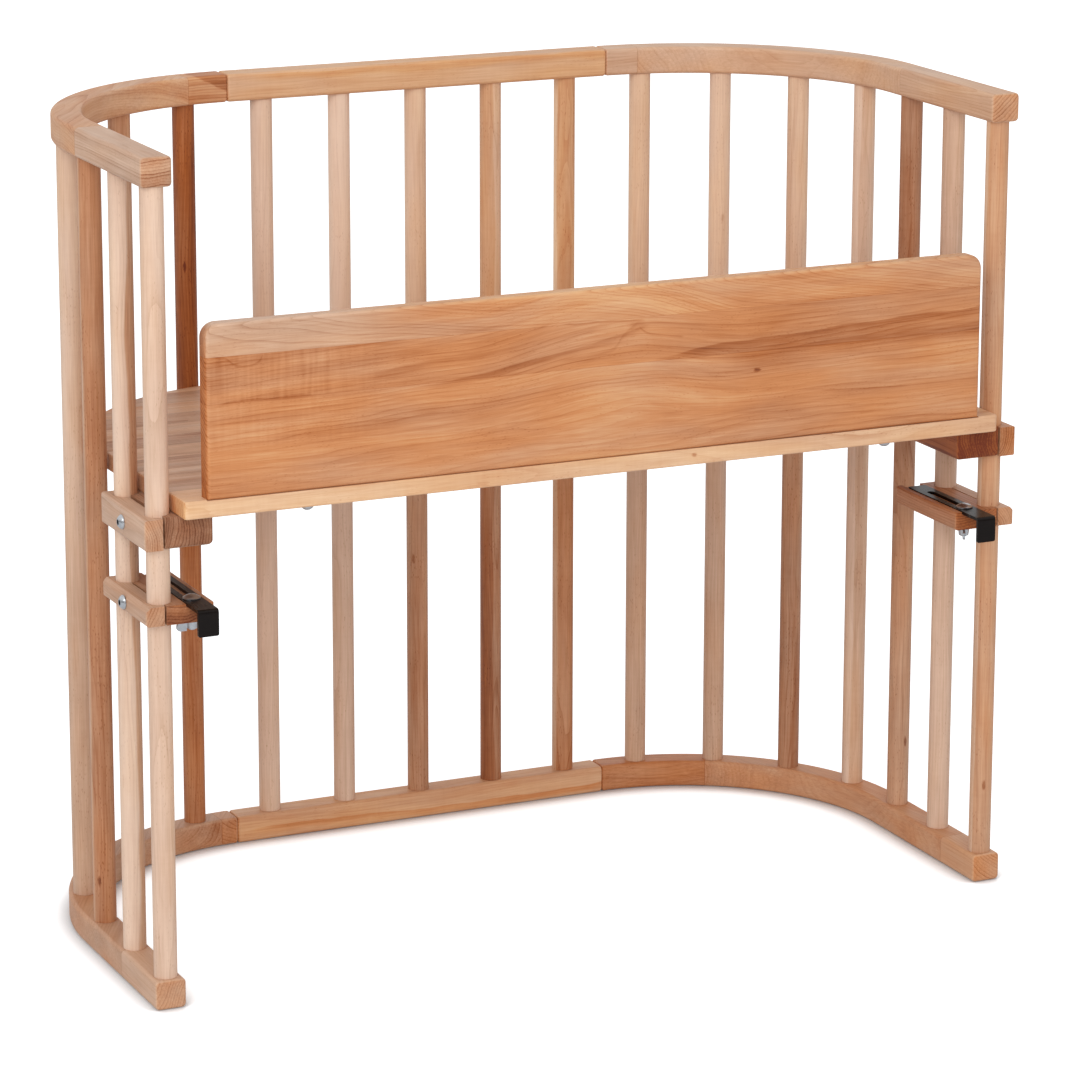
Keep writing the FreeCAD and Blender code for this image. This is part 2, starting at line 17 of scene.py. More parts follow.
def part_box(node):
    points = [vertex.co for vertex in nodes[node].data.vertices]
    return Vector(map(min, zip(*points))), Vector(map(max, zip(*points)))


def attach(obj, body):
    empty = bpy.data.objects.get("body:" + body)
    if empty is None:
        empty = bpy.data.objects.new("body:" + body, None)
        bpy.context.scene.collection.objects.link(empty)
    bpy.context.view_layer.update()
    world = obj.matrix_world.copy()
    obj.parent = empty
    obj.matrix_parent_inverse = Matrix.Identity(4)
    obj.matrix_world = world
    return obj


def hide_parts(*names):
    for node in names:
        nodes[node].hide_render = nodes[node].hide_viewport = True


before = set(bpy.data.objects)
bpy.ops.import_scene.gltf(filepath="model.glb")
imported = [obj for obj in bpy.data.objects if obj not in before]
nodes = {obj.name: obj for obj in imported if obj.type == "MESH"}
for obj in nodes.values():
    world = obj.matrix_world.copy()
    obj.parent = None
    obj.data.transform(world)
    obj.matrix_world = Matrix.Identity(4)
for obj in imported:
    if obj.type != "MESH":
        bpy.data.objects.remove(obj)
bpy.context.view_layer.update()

scene = bpy.context.scene

# %% [markdown]
# ## Short words for node trees
# A node tree is a drawing of a calculation. Wiring it by hand takes three lines for each
# node, so these helpers make one line of it: `add` makes a node and wires its inputs,
# `calc` is one step of arithmetic and `vector` one step of vector arithmetic. `between`
# eases from one value to another, and `noise` is the soft noise that most of the wood is
# made of. They work in material trees and in Geometry Nodes trees alike.

# %% Helpers for node trees
def add(tree, kind, inputs=None, **settings):
    """One node. Its inputs are numbers, or outputs of other nodes, by name or by index."""
    node = tree.nodes.new(kind)
    for name, value in settings.items():
        setattr(node, name, value)
    for key, value in (inputs or {}).items():
        if isinstance(value, bpy.types.NodeSocket):
            tree.links.new(value, node.inputs[key])
        else:
            node.inputs[key].default_value = value
    return node


def calc(tree, operation, *values):
    """One step of arithmetic."""
    return add(tree, "ShaderNodeMath", dict(enumerate(values)), operation=operation).outputs[0]


def vector(tree, operation, *values):
    """One step of vector arithmetic."""
    node = add(tree, "ShaderNodeVectorMath", dict(enumerate(values)), operation=operation)
    return node.outputs["Vector"]


def joined(tree, x, y, z):
    """A vector from three numbers."""
    return add(tree, "ShaderNodeCombineXYZ", {0: x, 1: y, 2: z}).outputs[0]


def parts(tree, value):
    """The three numbers of a vector."""
    return add(tree, "ShaderNodeSeparateXYZ", {0: value}).outputs


def clamped(tree, value):
    """The value, kept between 0 and 1."""
    return add(tree, "ShaderNodeClamp", {0: value}).outputs[0]


def between(tree, value, low, high, start=0.0, end=1.0):
    """Eases from start to end as the value goes from low to high."""
    node = add(tree, "ShaderNodeMapRange",
               {"Value": value, 1: low, 2: high, 3: start, 4: end},
               interpolation_type="SMOOTHSTEP")
    return node.outputs[0]


def noise(tree, place, detail=2.0, roughness=0.5, distortion=0.0):
    """Soft noise that varies by about a unit of the place."""
    return add(tree, "ShaderNodeTexNoise",
               {"Vector": place, "Scale": 1.0, "Detail": detail, "Roughness": roughness,
                "Distortion": distortion}).outputs["Fac"]


def scaled_noise(tree, place, scale, detail=2.0, roughness=0.5):
    """Soft noise on a place that is first scaled along each of its axes."""
    return noise(tree, vector(tree, "MULTIPLY", place, scale), detail, roughness)


def mixed(tree, share, first, second):
    """A colour that goes from the first to the second as the share goes from 0 to 1."""
    return add(tree, "ShaderNodeMix", {0: share, 6: first, 7: second},
               data_type="RGBA").outputs[2]


def paint(red, green, blue):
    """A colour given as screen values from 0 to 255, in the linear form that nodes use."""
    def linear(value):
        value /= 255
        return value / 12.92 if value <= 0.04045 else ((value + 0.055) / 1.055) ** 2.4
    return linear(red), linear(green), linear(blue), 1.0


# %% [markdown]
# ## The camera
# The picture was taken from the cot's left front, from above its rim, with a long lens
# from about four metres. The lens is shifted by a tenth of the frame, so that the
# spindles stay nearly upright. The camera's three turns are multiplied as matrices:
# first the roll about its own line of sight, then the tilt, then the turn to the side.

# %% Camera
def linked(name, data):
    """An object that carries some data, linked to the scene."""
    thing = bpy.data.objects.new(name, data)
    scene.collection.objects.link(thing)
    return thing


PICTURE = 1080
focal_pixels = 4419.7
middle_of_lens = (547.5, 430.0)
camera_place = Vector((-1.7435, -3.8596, 1.4704))
yaw, pitch, roll = (math.radians(angle) for angle in (24.870, 13.378, 0.132))

lens = bpy.data.cameras.new("camera")
lens.sensor_width = 36.0
lens.lens = focal_pixels * lens.sensor_width / PICTURE
lens.shift_x = (PICTURE / 2 - middle_of_lens[0]) / PICTURE
lens.shift_y = (middle_of_lens[1] - PICTURE / 2) / PICTURE
camera = linked("camera", lens)
turn = (Matrix.Rotation(-yaw, 3, "Z") @ Matrix.Rotation(math.pi / 2 - pitch, 3, "X")
        @ Matrix.Rotation(roll, 3, "Z"))
camera.location = camera_place
camera.rotation_euler = turn.to_euler()
scene.camera = camera
print("lens %.1f mm, shift %.3f and %.3f" % (lens.lens, lens.shift_x, lens.shift_y))

# %% [markdown]
# ## Light and floor
# The studio is a white tent: light comes from every side, a large soft lamp at the left
# gives the wood its shape, and a second one behind the camera fills the inside of the
# cot, so that the spindles at the back are as clear as those in front. The backdrop is
# whiter than the light it gives, so the sky and the floor answer two questions with Light
# Path: what does the camera see, or a mirror, and what does the wood receive? The floor
# still takes the cot's shadow, and where it meets the rails Ambient Occlusion takes away
# some of its own glow. From below the paper is clear, so the underside can be looked at.
# Mirrors see a room that is bright above and dark near the ground and behind the camera,
# which gives the zinc and the black hooks their contrast.

# %% Sky, lamp and floor
tent_light = 0.68
darkest_wall = 0.12
paper_glow, contact_reach = 0.66, 0.045
white = (1, 1, 1, 1)
scene.view_settings.view_transform = "Standard"


def seen_directly(tree):
    """1 for what the camera, a mirror or a glass sees, and 0 for light that falls on things."""
    path = add(tree, "ShaderNodeLightPath").outputs
    mirror = calc(tree, "MAXIMUM", path["Is Glossy Ray"], path["Is Transmission Ray"])
    return calc(tree, "MAXIMUM", path["Is Camera Ray"], mirror)


sky = bpy.data.worlds.new("tent")
scene.world = sky
sky.use_nodes = True
tree = sky.node_tree
tree.nodes.clear()
strength = calc(tree, "MULTIPLY_ADD", seen_directly(tree), 1 - tent_light, tent_light)
toward = vector(tree, "NORMALIZE", add(tree, "ShaderNodeTexCoord").outputs["Object"])
toward = parts(tree, toward)
bright_side = calc(tree, "MULTIPLY_ADD", toward["Y"], 0.3, toward["Z"])
missing = calc(tree, "SUBTRACT", 1.0, between(tree, bright_side, -0.1, 0.6, darkest_wall, 1.0))
mirror_ray = add(tree, "ShaderNodeLightPath").outputs["Is Glossy Ray"]
shade = calc(tree, "SUBTRACT", 1.0, calc(tree, "MULTIPLY", mirror_ray, missing))
strength = calc(tree, "MULTIPLY", strength, shade)
light = add(tree, "ShaderNodeBackground", {"Color": white, "Strength": strength})
add(tree, "ShaderNodeOutputWorld", {"Surface": light.outputs[0]})


middle_of_cot = Vector((0, 0, 0.45))


def soft_lamp(name, place, size, watts, mirrored=True):
    """A round soft lamp that points at the middle of the cot, and may be hidden from mirrors."""
    lamp = bpy.data.lights.new(name, "AREA")
    lamp.shape = "DISK"
    lamp.size = size
    lamp.energy = watts
    stand = linked(name, lamp)
    stand.location = place
    aim = middle_of_cot - Vector(place)
    stand.rotation_euler = aim.to_track_quat("-Z", "Y").to_euler()
    stand.visible_glossy = mirrored


soft_lamp("window", (-3.2, -2.9, 3.0), 2.2, 50.0)
soft_lamp("front fill", (-1.3, -4.9, 1.9), 2.4, 66.0, mirrored=False)

floor_mesh = bpy.data.meshes.new("floor")
floor_reach, floor_gap = 12.0, 0.0005
corners = [(x * floor_reach, y * floor_reach, -floor_gap)
           for x, y in ((-1, -1), (1, -1), (1, 1), (-1, 1))]
floor_mesh.from_pydata(corners, [], [(0, 1, 2, 3)])
floor = linked("floor", floor_mesh)
floor_paper = bpy.data.materials.new("white paper")
floor_paper.use_nodes = True
tree = floor_paper.node_tree
tree.nodes.clear()
nearby = add(tree, "ShaderNodeAmbientOcclusion", {"Distance": contact_reach},
             samples=8).outputs["AO"]
seen = add(tree, "ShaderNodeLightPath").outputs["Is Camera Ray"]
glow = calc(tree, "MULTIPLY", seen, between(tree, nearby, 0.5, 0.9, 0.0, paper_glow))
paper = add(tree, "ShaderNodeBsdfPrincipled",
            {"Base Color": (0.85, 0.88, 0.91, 1), "Roughness": 0.9, "Specular IOR Level": 0.1,
             "Emission Color": white, "Emission Strength": glow})
clear = add(tree, "ShaderNodeBsdfTransparent")
from_below = add(tree, "ShaderNodeNewGeometry").outputs["Backfacing"]
one_way = add(tree, "ShaderNodeMixShader",
              {0: from_below, 1: paper.outputs[0], 2: clear.outputs[0]})
add(tree, "ShaderNodeOutputMaterial", {"Surface": one_way.outputs[0]})
floor_mesh.materials.append(floor_paper)
print("tent, two soft lamps and a white floor")

# %% [markdown]
# ## Beech, once for all pieces
# Beech is pale, pinkish and even. What gives it life are five things: growth rings that
# show as fine lines where the saw cut them, wide soft bands of colour along those rings,
# dark heart streaks, short dark flecks where the rays were cut, and end grain that drinks
# in more light. A picture of wood would stretch and repeat. A solid wood doesn't: the
# group below asks where a point lies in the tree, as a distance from its pith, and gets
# colour, roughness and height from that, so long grain and end grain meet at each edge.
# Lengths are millimetres, and X runs along the grain.

# %% The tree that all boards come from
GRAIN_INPUTS = (("Place", "Vector", None), ("Facing", "Vector", None), ("Seed", "Float", 0.0),
                ("Tone", "Float", 0.4), ("Warmth", "Float", 0.3), ("Pith", "Vector", None),
                ("Tilt", "Vector", None), ("Ring width", "Float", 2.6), ("Rings", "Float", 1.0),
                ("Heart", "Float", 0.0), ("Curl", "Float", 0.3), ("Flecks", "Float", 0.6))
COOL_BEECH = ((238, 209, 186), (218, 184, 160), (192, 154, 127), (155, 107, 78), (106, 56, 30))
WARM_BEECH = ((246, 208, 162), (226, 176, 126), (205, 136, 85), (170, 94, 42), (111, 44, 16))


def toned(tree, tone, colours):
    """Five colours from pale to dark, spread evenly over a tone from 0 to 1."""
    ramp = add(tree, "ShaderNodeValToRGB", {0: tone})
    stops = ramp.color_ramp.elements
    while len(stops) < len(colours):
        stops.new(0.5)
    for index, colour in enumerate(colours):
        stops[index].position = index / (len(colours) - 1)
        stops[index].color = paint(*colour)
    return ramp.outputs[0]


def beech_tree():
    """The node group that turns a place in a beech tree into colour, roughness and height."""
    tree = bpy.data.node_groups.new("solid beech", "ShaderNodeTree")
    for label, kind, value in GRAIN_INPUTS:
        socket = tree.interface.new_socket(label, in_out="INPUT", socket_type="NodeSocket" + kind)
        if value is not None:
            socket.default_value = value
    for label, kind in (("Colour", "Color"), ("Roughness", "Float"), ("Height", "Float")):
        tree.interface.new_socket(label, in_out="OUTPUT", socket_type="NodeSocket" + kind)
    given = tree.nodes.new("NodeGroupInput").outputs
    seed = given["Seed"]
    shift = joined(tree, calc(tree, "MULTIPLY", seed, 173.0), calc(tree, "MULTIPLY", seed, 61.0),
                   calc(tree, "MULTIPLY", seed, -97.0))
    spot = vector(tree, "ADD", given["Place"], shift)

    def grain_noise(along, across, detail=2.0, roughness=0.5):
        """Noise with a length along the grain and another across it, about zero."""
        size = (1 / along, 1 / across, 1 / across)
        return calc(tree, "SUBTRACT", scaled_noise(tree, spot, size, detail, roughness), 0.5)

    place = parts(tree, given["Place"])
    pith = parts(tree, given["Pith"])
    wander = [calc(tree, "MULTIPLY", grain_noise(along, across), reach)
              for along, across, reach in ((240.0, 60.0, 26.0), (310.0, 75.0, 26.0))]
    tilt = parts(tree, given["Tilt"])
    across = [calc(tree, "ADD", calc(tree, "SUBTRACT", place[axis], pith[axis]), wander[k])
              for k, axis in enumerate("YZ")]
    across = [calc(tree, "MULTIPLY_ADD", place["X"], tilt[axis], across[k])
              for k, axis in enumerate("YZ")]
    away = calc(tree, "SQRT", calc(tree, "MULTIPLY_ADD", across[0], across[0],
                                   calc(tree, "MULTIPLY", across[1], across[1])))
    ripple = calc(tree, "MULTIPLY", grain_noise(45.0, 7.0), 0.45)
    ring = calc(tree, "ADD", calc(tree, "DIVIDE", away, given["Ring width"]), ripple)
    late_wood = calc(tree, "POWER", calc(tree, "FRACT", ring), 4.0)
    lot = add(tree, "ShaderNodeTexWhiteNoise",
              {"W": calc(tree, "ADD", calc(tree, "FLOOR", ring), seed)}, noise_dimensions="1D")
    line = calc(tree, "MULTIPLY", late_wood, calc(tree, "MULTIPLY_ADD", lot.outputs[0], 0.8, 0.2))

    band_place = joined(tree, calc(tree, "DIVIDE", place["X"], 520.0),
                        calc(tree, "MULTIPLY", ring, 0.24), seed)
    band = calc(tree, "SUBTRACT", noise(tree, band_place, 3.0, 0.6), 0.5)
    heart_place = joined(tree, calc(tree, "DIVIDE", place["X"], 380.0),
                         calc(tree, "MULTIPLY_ADD", ring, 0.42, 7.0),
                         calc(tree, "ADD", seed, 31.0))
    heart = between(tree, noise(tree, heart_place, 3.0, 0.55, 0.3), 0.53, 0.68)
    mottle = grain_noise(90.0, 22.0, 3.0, 0.55)
    fibre = calc(tree, "ADD", grain_noise(24.0, 0.7, 2.0), grain_noise(70.0, 1.8, 1.0))
    shimmer = calc(tree, "MULTIPLY", grain_noise(4.0, 45.0, 1.0), given["Curl"])
    ray_place = vector(tree, "MULTIPLY", spot, (1 / 6.5, 1 / 1.5, 1 / 1.5))
    ray = add(tree, "ShaderNodeTexVoronoi", {"Vector": ray_place, "Scale": 1.0})
    patch = between(tree, grain_noise(60.0, 16.0), -0.06, 0.1)
    fleck = between(tree, ray.outputs["Distance"], 0.10, 0.26, 1.0, 0.0)
    fleck = calc(tree, "MULTIPLY", calc(tree, "MULTIPLY", fleck, patch), given["Flecks"])
    faced = calc(tree, "ABSOLUTE", parts(tree, given["Facing"])["X"])
    end_grain = between(tree, faced, 0.55, 0.9)

    tone = given["Tone"]
    for amount, weight in ((calc(tree, "MULTIPLY", band, given["Rings"]), 0.50),
                           (calc(tree, "MULTIPLY", line, given["Rings"]), 0.21),
                           (calc(tree, "MULTIPLY", heart, given["Heart"]), 0.5),
                           (mottle, 0.24), (fibre, 0.19), (shimmer, 0.14), (fleck, 0.22),
                           (end_grain, 0.12), (calc(tree, "MULTIPLY", line, end_grain), 0.22)):
        tone = calc(tree, "MULTIPLY_ADD", amount, weight, tone)
    warmth = calc(tree, "MULTIPLY_ADD", grain_noise(150.0, 30.0), 1.1, given["Warmth"])
    warmth = calc(tree, "MULTIPLY_ADD", end_grain, 0.25, warmth)
    warmth = clamped(tree, warmth)
    colour = mixed(tree, warmth, toned(tree, tone, COOL_BEECH), toned(tree, tone, WARM_BEECH))
    rough = calc(tree, "MULTIPLY_ADD", line, 0.10, calc(tree, "MULTIPLY_ADD", mottle, 0.2, 0.46))
    rough = calc(tree, "MULTIPLY_ADD", end_grain, 0.18, rough)
    height = calc(tree, "MULTIPLY_ADD", fibre, 0.8, calc(tree, "MULTIPLY", line, -0.35))
    height = calc(tree, "MULTIPLY_ADD", fleck, -0.5, height)
    add(tree, "NodeGroupOutput", {"Colour": colour, "Roughness": rough, "Height": height})
    return tree


solid_beech = beech_tree()
print("solid beech has", len(solid_beech.nodes), "nodes")

# %% [markdown]
# ## Laying a piece in the tree
# Each piece of wood is cut from another place of another tree, so each one gets its own
# material, with its own seed, tone and pith. `laid` moves the piece's middle to zero and
# turns its grain to X with one Mapping node on Object coordinates. `glued` is for boards
# made of staves and for the bent rails: it steps from one value to the next as a
# position passes each glue line, and `glue_lines` darkens the lines themselves.

# %% Materials for one piece of wood
TO_MM = (1000, 1000, 1000)
GRAIN_TURNS = {"X": (0, 0, 0), "Y": (0, 0, -math.pi / 2), "Z": (0, math.pi / 2, 0)}


def laid(tree, centre, grain):
    """The place in the timber in millimetres, and the way that the surface faces in it."""
    turns = Euler(GRAIN_TURNS[grain])
    offset = turns.to_matrix() @ (Vector(centre) * -1000)
    source = add(tree, "ShaderNodeTexCoord").outputs
    place = add(tree, "ShaderNodeMapping", {"Vector": source["Object"], "Location": offset,
                                            "Rotation": turns, "Scale": TO_MM})
    facing = add(tree, "ShaderNodeMapping", {"Vector": source["Normal"], "Rotation": turns},
                 vector_type="NORMAL")
    return place.outputs[0], facing.outputs[0]


def glued(tree, position, joints, values):
    """Steps from each value to the next where the position passes a joint."""
    result = values[0]
    for joint, before, after in zip(joints, values, values[1:]):
        past = calc(tree, "GREATER_THAN", position, joint)
        result = calc(tree, "MULTIPLY_ADD", past, after - before, result)
    return result


def glue_lines(tree, tone, position, lines, start, end, darker):
    """Darkens a tone within a short way, given as start and end, of each glue line."""
    for line in lines:
        gap = calc(tree, "ABSOLUTE", calc(tree, "SUBTRACT", position, line))
        tone = calc(tree, "ADD", tone, between(tree, gap, start, end, darker, 0.0))
    return tone


def blank(name):
    """A material with an empty tree."""
    material = bpy.data.materials.new(name)
    material.use_nodes = True
    material.node_tree.nodes.clear()
    return material, material.node_tree


def surfaced(tree, look, height, strength, distance):
    """Ends a material: a bump of some depth, and a surface whose inputs are given by name."""
    bump = add(tree, "ShaderNodeBump",
               {"Strength": strength, "Distance": distance, "Height": height})
    surface = add(tree, "ShaderNodeBsdfPrincipled", {**look, "Normal": bump.outputs[0]})
    add(tree, "ShaderNodeOutputMaterial", {"Surface": surface.outputs[0]})


def planed(tree, place, facing, pith=(0.0, 22.0, 40.0), gloss=0.35, **grain):
    """Beech, planed, sanded and oiled; the grain's inputs are given by name."""
    inputs = {"Place": place, "Facing": facing, "Pith": pith}
    inputs.update({label.replace("_", " ").capitalize(): value for label, value in grain.items()})
    wood = add(tree, "ShaderNodeGroup", node_tree=solid_beech)
    for label, value in inputs.items():
        if isinstance(value, bpy.types.NodeSocket):
            tree.links.new(value, wood.inputs[label])
        else:
            wood.inputs[label].default_value = value
    look = {"Base Color": wood.outputs["Colour"], "Roughness": wood.outputs["Roughness"],
            "Specular IOR Level": gloss}
    surfaced(tree, look, wood.outputs["Height"], strength=0.25, distance=0.0003)


def coat(piece, material):
    """Gives a whole piece one material."""
    piece.data.materials.clear()
    piece.data.materials.append(material)


def middle_of(node):
    """The middle of a node's box."""
    low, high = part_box(node)
    return (low + high) / 2


# %% [markdown]
# Some features belong to one place of one board: a heart streak, a knot, a dark figure.
# A streak follows a Float Curve through a few points of the board: it has a sharp upper
# edge and a longer fade below, and slow noise bends it a little.

# %% Streaks and knots
def stave_noise(tree, place, size, reach):
    """Slow noise along a board, about zero."""
    raw = scaled_noise(tree, place, tuple(1 / length for length in size))
    return calc(tree, "MULTIPLY", calc(tree, "SUBTRACT", raw, 0.5), reach)


def streak(tree, place, points, above, below, weight):
    """A dark streak through points of a board, given in its own X and Z."""
    along, up = parts(tree, place)["X"], parts(tree, place)["Z"]
    start, end = points[0][0], points[-1][0]
    low = min(z for x, z in points)
    rise = max(z for x, z in points) - low
    share = calc(tree, "DIVIDE", calc(tree, "SUBTRACT", along, start), end - start)
    course = add(tree, "ShaderNodeFloatCurve", {"Value": share})
    line = course.mapping.curves[0]
    while len(line.points) < len(points):
        line.points.new(0.5, 0.5)
    for stop, (x, z) in zip(line.points, points):
        stop.location = ((x - start) / (end - start), (z - low) / rise)
    course.mapping.update()
    height = calc(tree, "MULTIPLY_ADD", course.outputs[0], rise, low)
    offset = calc(tree, "ADD", calc(tree, "SUBTRACT", up, height),
                  stave_noise(tree, place, (45.0, 30.0, 30.0), 5.0))
    body = calc(tree, "MULTIPLY", between(tree, offset, 0.0, above, 1.0, 0.0),
                between(tree, offset, -below, 0.0, 0.0, 1.0))
    ends = calc(tree, "MULTIPLY", between(tree, share, -0.02, 0.15),
                between(tree, share, 0.95, 1.08, 1.0, 0.0))
    return calc(tree, "MULTIPLY", calc(tree, "MULTIPLY", body, ends), weight)


def knot(tree, place, centre, size, weight):
    """A small dark knot: an uneven eye drawn out along the grain."""
    offset = vector(tree, "SUBTRACT", place, centre)
    offset = vector(tree, "DIVIDE", offset, size)
    length = add(tree, "ShaderNodeVectorMath", {0: offset}, operation="LENGTH").outputs["Value"]
    length = calc(tree, "ADD", length, stave_noise(tree, place, (5.0, 1.2, 1.2), 1.1))
    return between(tree, length, 0.3, 1.0, weight, 0.0)


# %% [markdown]
# ## Growing pieces with Geometry Nodes
# A Geometry Nodes tree is a recipe with named sizes. `recipe` starts one, `served` ends it,
# and `grown` runs it once on an empty mesh and keeps the plain mesh that comes out, so
# the finished piece has no modifier and sits at the origin like the CAD pieces. Weighted
# normals keep wide flat faces flat where a small round meets them. The steps that more
# than one recipe takes come first: `swept` makes a tube along a path, `carved` cuts a
# hollow, and `written` and `read_back` carry a number along on the shape itself.

# %% Steps of a recipe
def shape_of(tree, guide):
    """The shape of an object that a recipe is given."""
    return add(tree, "GeometryNodeObjectInfo", {0: guide}).outputs["Geometry"]


def written(tree, shape, name, value, domain="POINT"):
    """Writes a number on a shape under a name."""
    return add(tree, "GeometryNodeStoreNamedAttribute",
               {"Geometry": shape, "Name": name, "Value": value},
               data_type="FLOAT", domain=domain).outputs[0]


def read_back(tree, name, kind="FLOAT"):
    """What is written on a shape under a name."""
    return add(tree, "GeometryNodeInputNamedAttribute", {"Name": name}, data_type=kind).outputs[0]


def swept(tree, path, profile, scale):
    """A closed tube: a profile that follows a path at a scale for each of its points."""
    return add(tree, "GeometryNodeCurveToMesh",
               {"Curve": path, "Profile Curve": profile, "Scale": scale,
                "Fill Caps": True}).outputs[0]


def carved(tree, mesh, tool):
    """A mesh less the space of a tool."""
    return add(tree, "GeometryNodeMeshBoolean", {"Mesh 1": mesh, "Mesh 2": tool},
               operation="DIFFERENCE", solver="EXACT").outputs[0]


def moved(tree, shape, place):
    """A shape moved to a place."""
    return add(tree, "GeometryNodeTransform",
               {"Geometry": shape, "Translation": place}).outputs[0]


# %% Helpers for Geometry Nodes
def recipe(name, **sizes):
    """An empty Geometry Nodes tree with named inputs, and the outputs of its input node."""
    tree = bpy.data.node_groups.new(name, "GeometryNodeTree")
    tree.interface.new_socket("Geometry", in_out="OUTPUT", socket_type="NodeSocketGeometry")
    for label, kind in sizes.items():
        tree.interface.new_socket(label.replace("_", " "), in_out="INPUT",
                                  socket_type="NodeSocket" + kind)
    return tree, tree.nodes.new("NodeGroupInput").outputs


def served(tree, geometry, material):
    """Ends a recipe: makes instances real and gives the result its material."""
    real = add(tree, "GeometryNodeRealizeInstances", {0: geometry}).outputs[0]
    coated = add(tree, "GeometryNodeSetMaterial", {"Geometry": real, "Material": material})
    add(tree, "NodeGroupOutput", {0: coated.outputs[0]})


def smoothed(tree, mesh, angle=35.0):
    """Smooth faces with sharp edges where the surface turns by more than an angle."""
    faces = add(tree, "GeometryNodeSetShadeSmooth", {0: mesh, 2: True}, domain="FACE").outputs[0]
    bend = add(tree, "GeometryNodeInputMeshEdgeAngle").outputs["Unsigned Angle"]
    sharp = add(tree, "FunctionNodeCompare", {0: bend, 1: math.radians(angle)},
                data_type="FLOAT", operation="GREATER_THAN").outputs[0]
    return add(tree, "GeometryNodeSetShadeSmooth", {0: faces, 1: sharp, 2: False},
               domain="EDGE").outputs[0]


def grown(name, tree, **sizes):
    """Runs a recipe with its sizes and keeps the plain mesh."""
    piece = linked(name, bpy.data.meshes.new(name + " seed"))
    plan = piece.modifiers.new("recipe", "NODES")
    plan.node_group = tree
    labels = {label.replace("_", " "): value for label, value in sizes.items()}
    for socket in tree.interface.items_tree:
        if socket.in_out == "INPUT" and socket.name in labels:
            plan[socket.identifier] = labels[socket.name]
    normals = piece.modifiers.new("normals", "WEIGHTED_NORMAL")
    normals.keep_sharp = True
    depsgraph = bpy.context.evaluated_depsgraph_get()
    mesh = bpy.data.meshes.new_from_object(piece.evaluated_get(depsgraph),
                                           preserve_all_data_layers=True, depsgraph=depsgraph)
    piece.modifiers.clear()
    seed_mesh = piece.data
    piece.data = mesh
    mesh.name = name
    bpy.data.meshes.remove(seed_mesh)
    return piece


def drawn(name, points, handles=None):
    """A guide curve through points: straight runs, or a Bezier curve with its handles."""
    curve = bpy.data.curves.new(name, "CURVE")
    curve.dimensions = "3D"
    if handles is None:
        spline = curve.splines.new("POLY")
        spline.points.add(len(points) - 1)
        for stop, point in zip(spline.points, points):
            stop.co = (*point, 1.0)
    else:
        spline = curve.splines.new("BEZIER")
        spline.resolution_u = 64
        spline.bezier_points.add(len(points) - 1)
        for stop, point, (left, right) in zip(spline.bezier_points, points, handles):
            stop.co, stop.handle_left, stop.handle_right = point, left, right
    return linked(name, curve)


def put_away(guide):
    """Removes a guide once its pieces are grown."""
    data = guide.data
    bpy.data.objects.remove(guide)
    (bpy.data.meshes if isinstance(data, bpy.types.Mesh) else bpy.data.curves).remove(data)


def stands_for(piece, body, slot, *replaced):
    """Says which body a new piece rides on and which nodes it replaces; the slot is not used."""
    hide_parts(*replaced)
    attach(piece, body)


# %% [markdown]
# ## The rails
# Each hoop is three pieces: a straight rail at the back and two side rails, which leave
# it in a quarter circle and end in a straight leg. On the real cot a side rail is sawn
# from short boards glued end to end, so its grain runs straight in each board and turns
# only at the glue lines. A curve with a profile swept along it gives the shape. The
# recipe moves the sweep's first and last rows, and shrinks the profile there, so that
# both ends are rounded as a router rounds them, and the joints show a fine V. It also
# writes the distance along the rail on the mesh, which is where the wood looks for its
# glue lines. The pockets underneath are cut with a boolean.

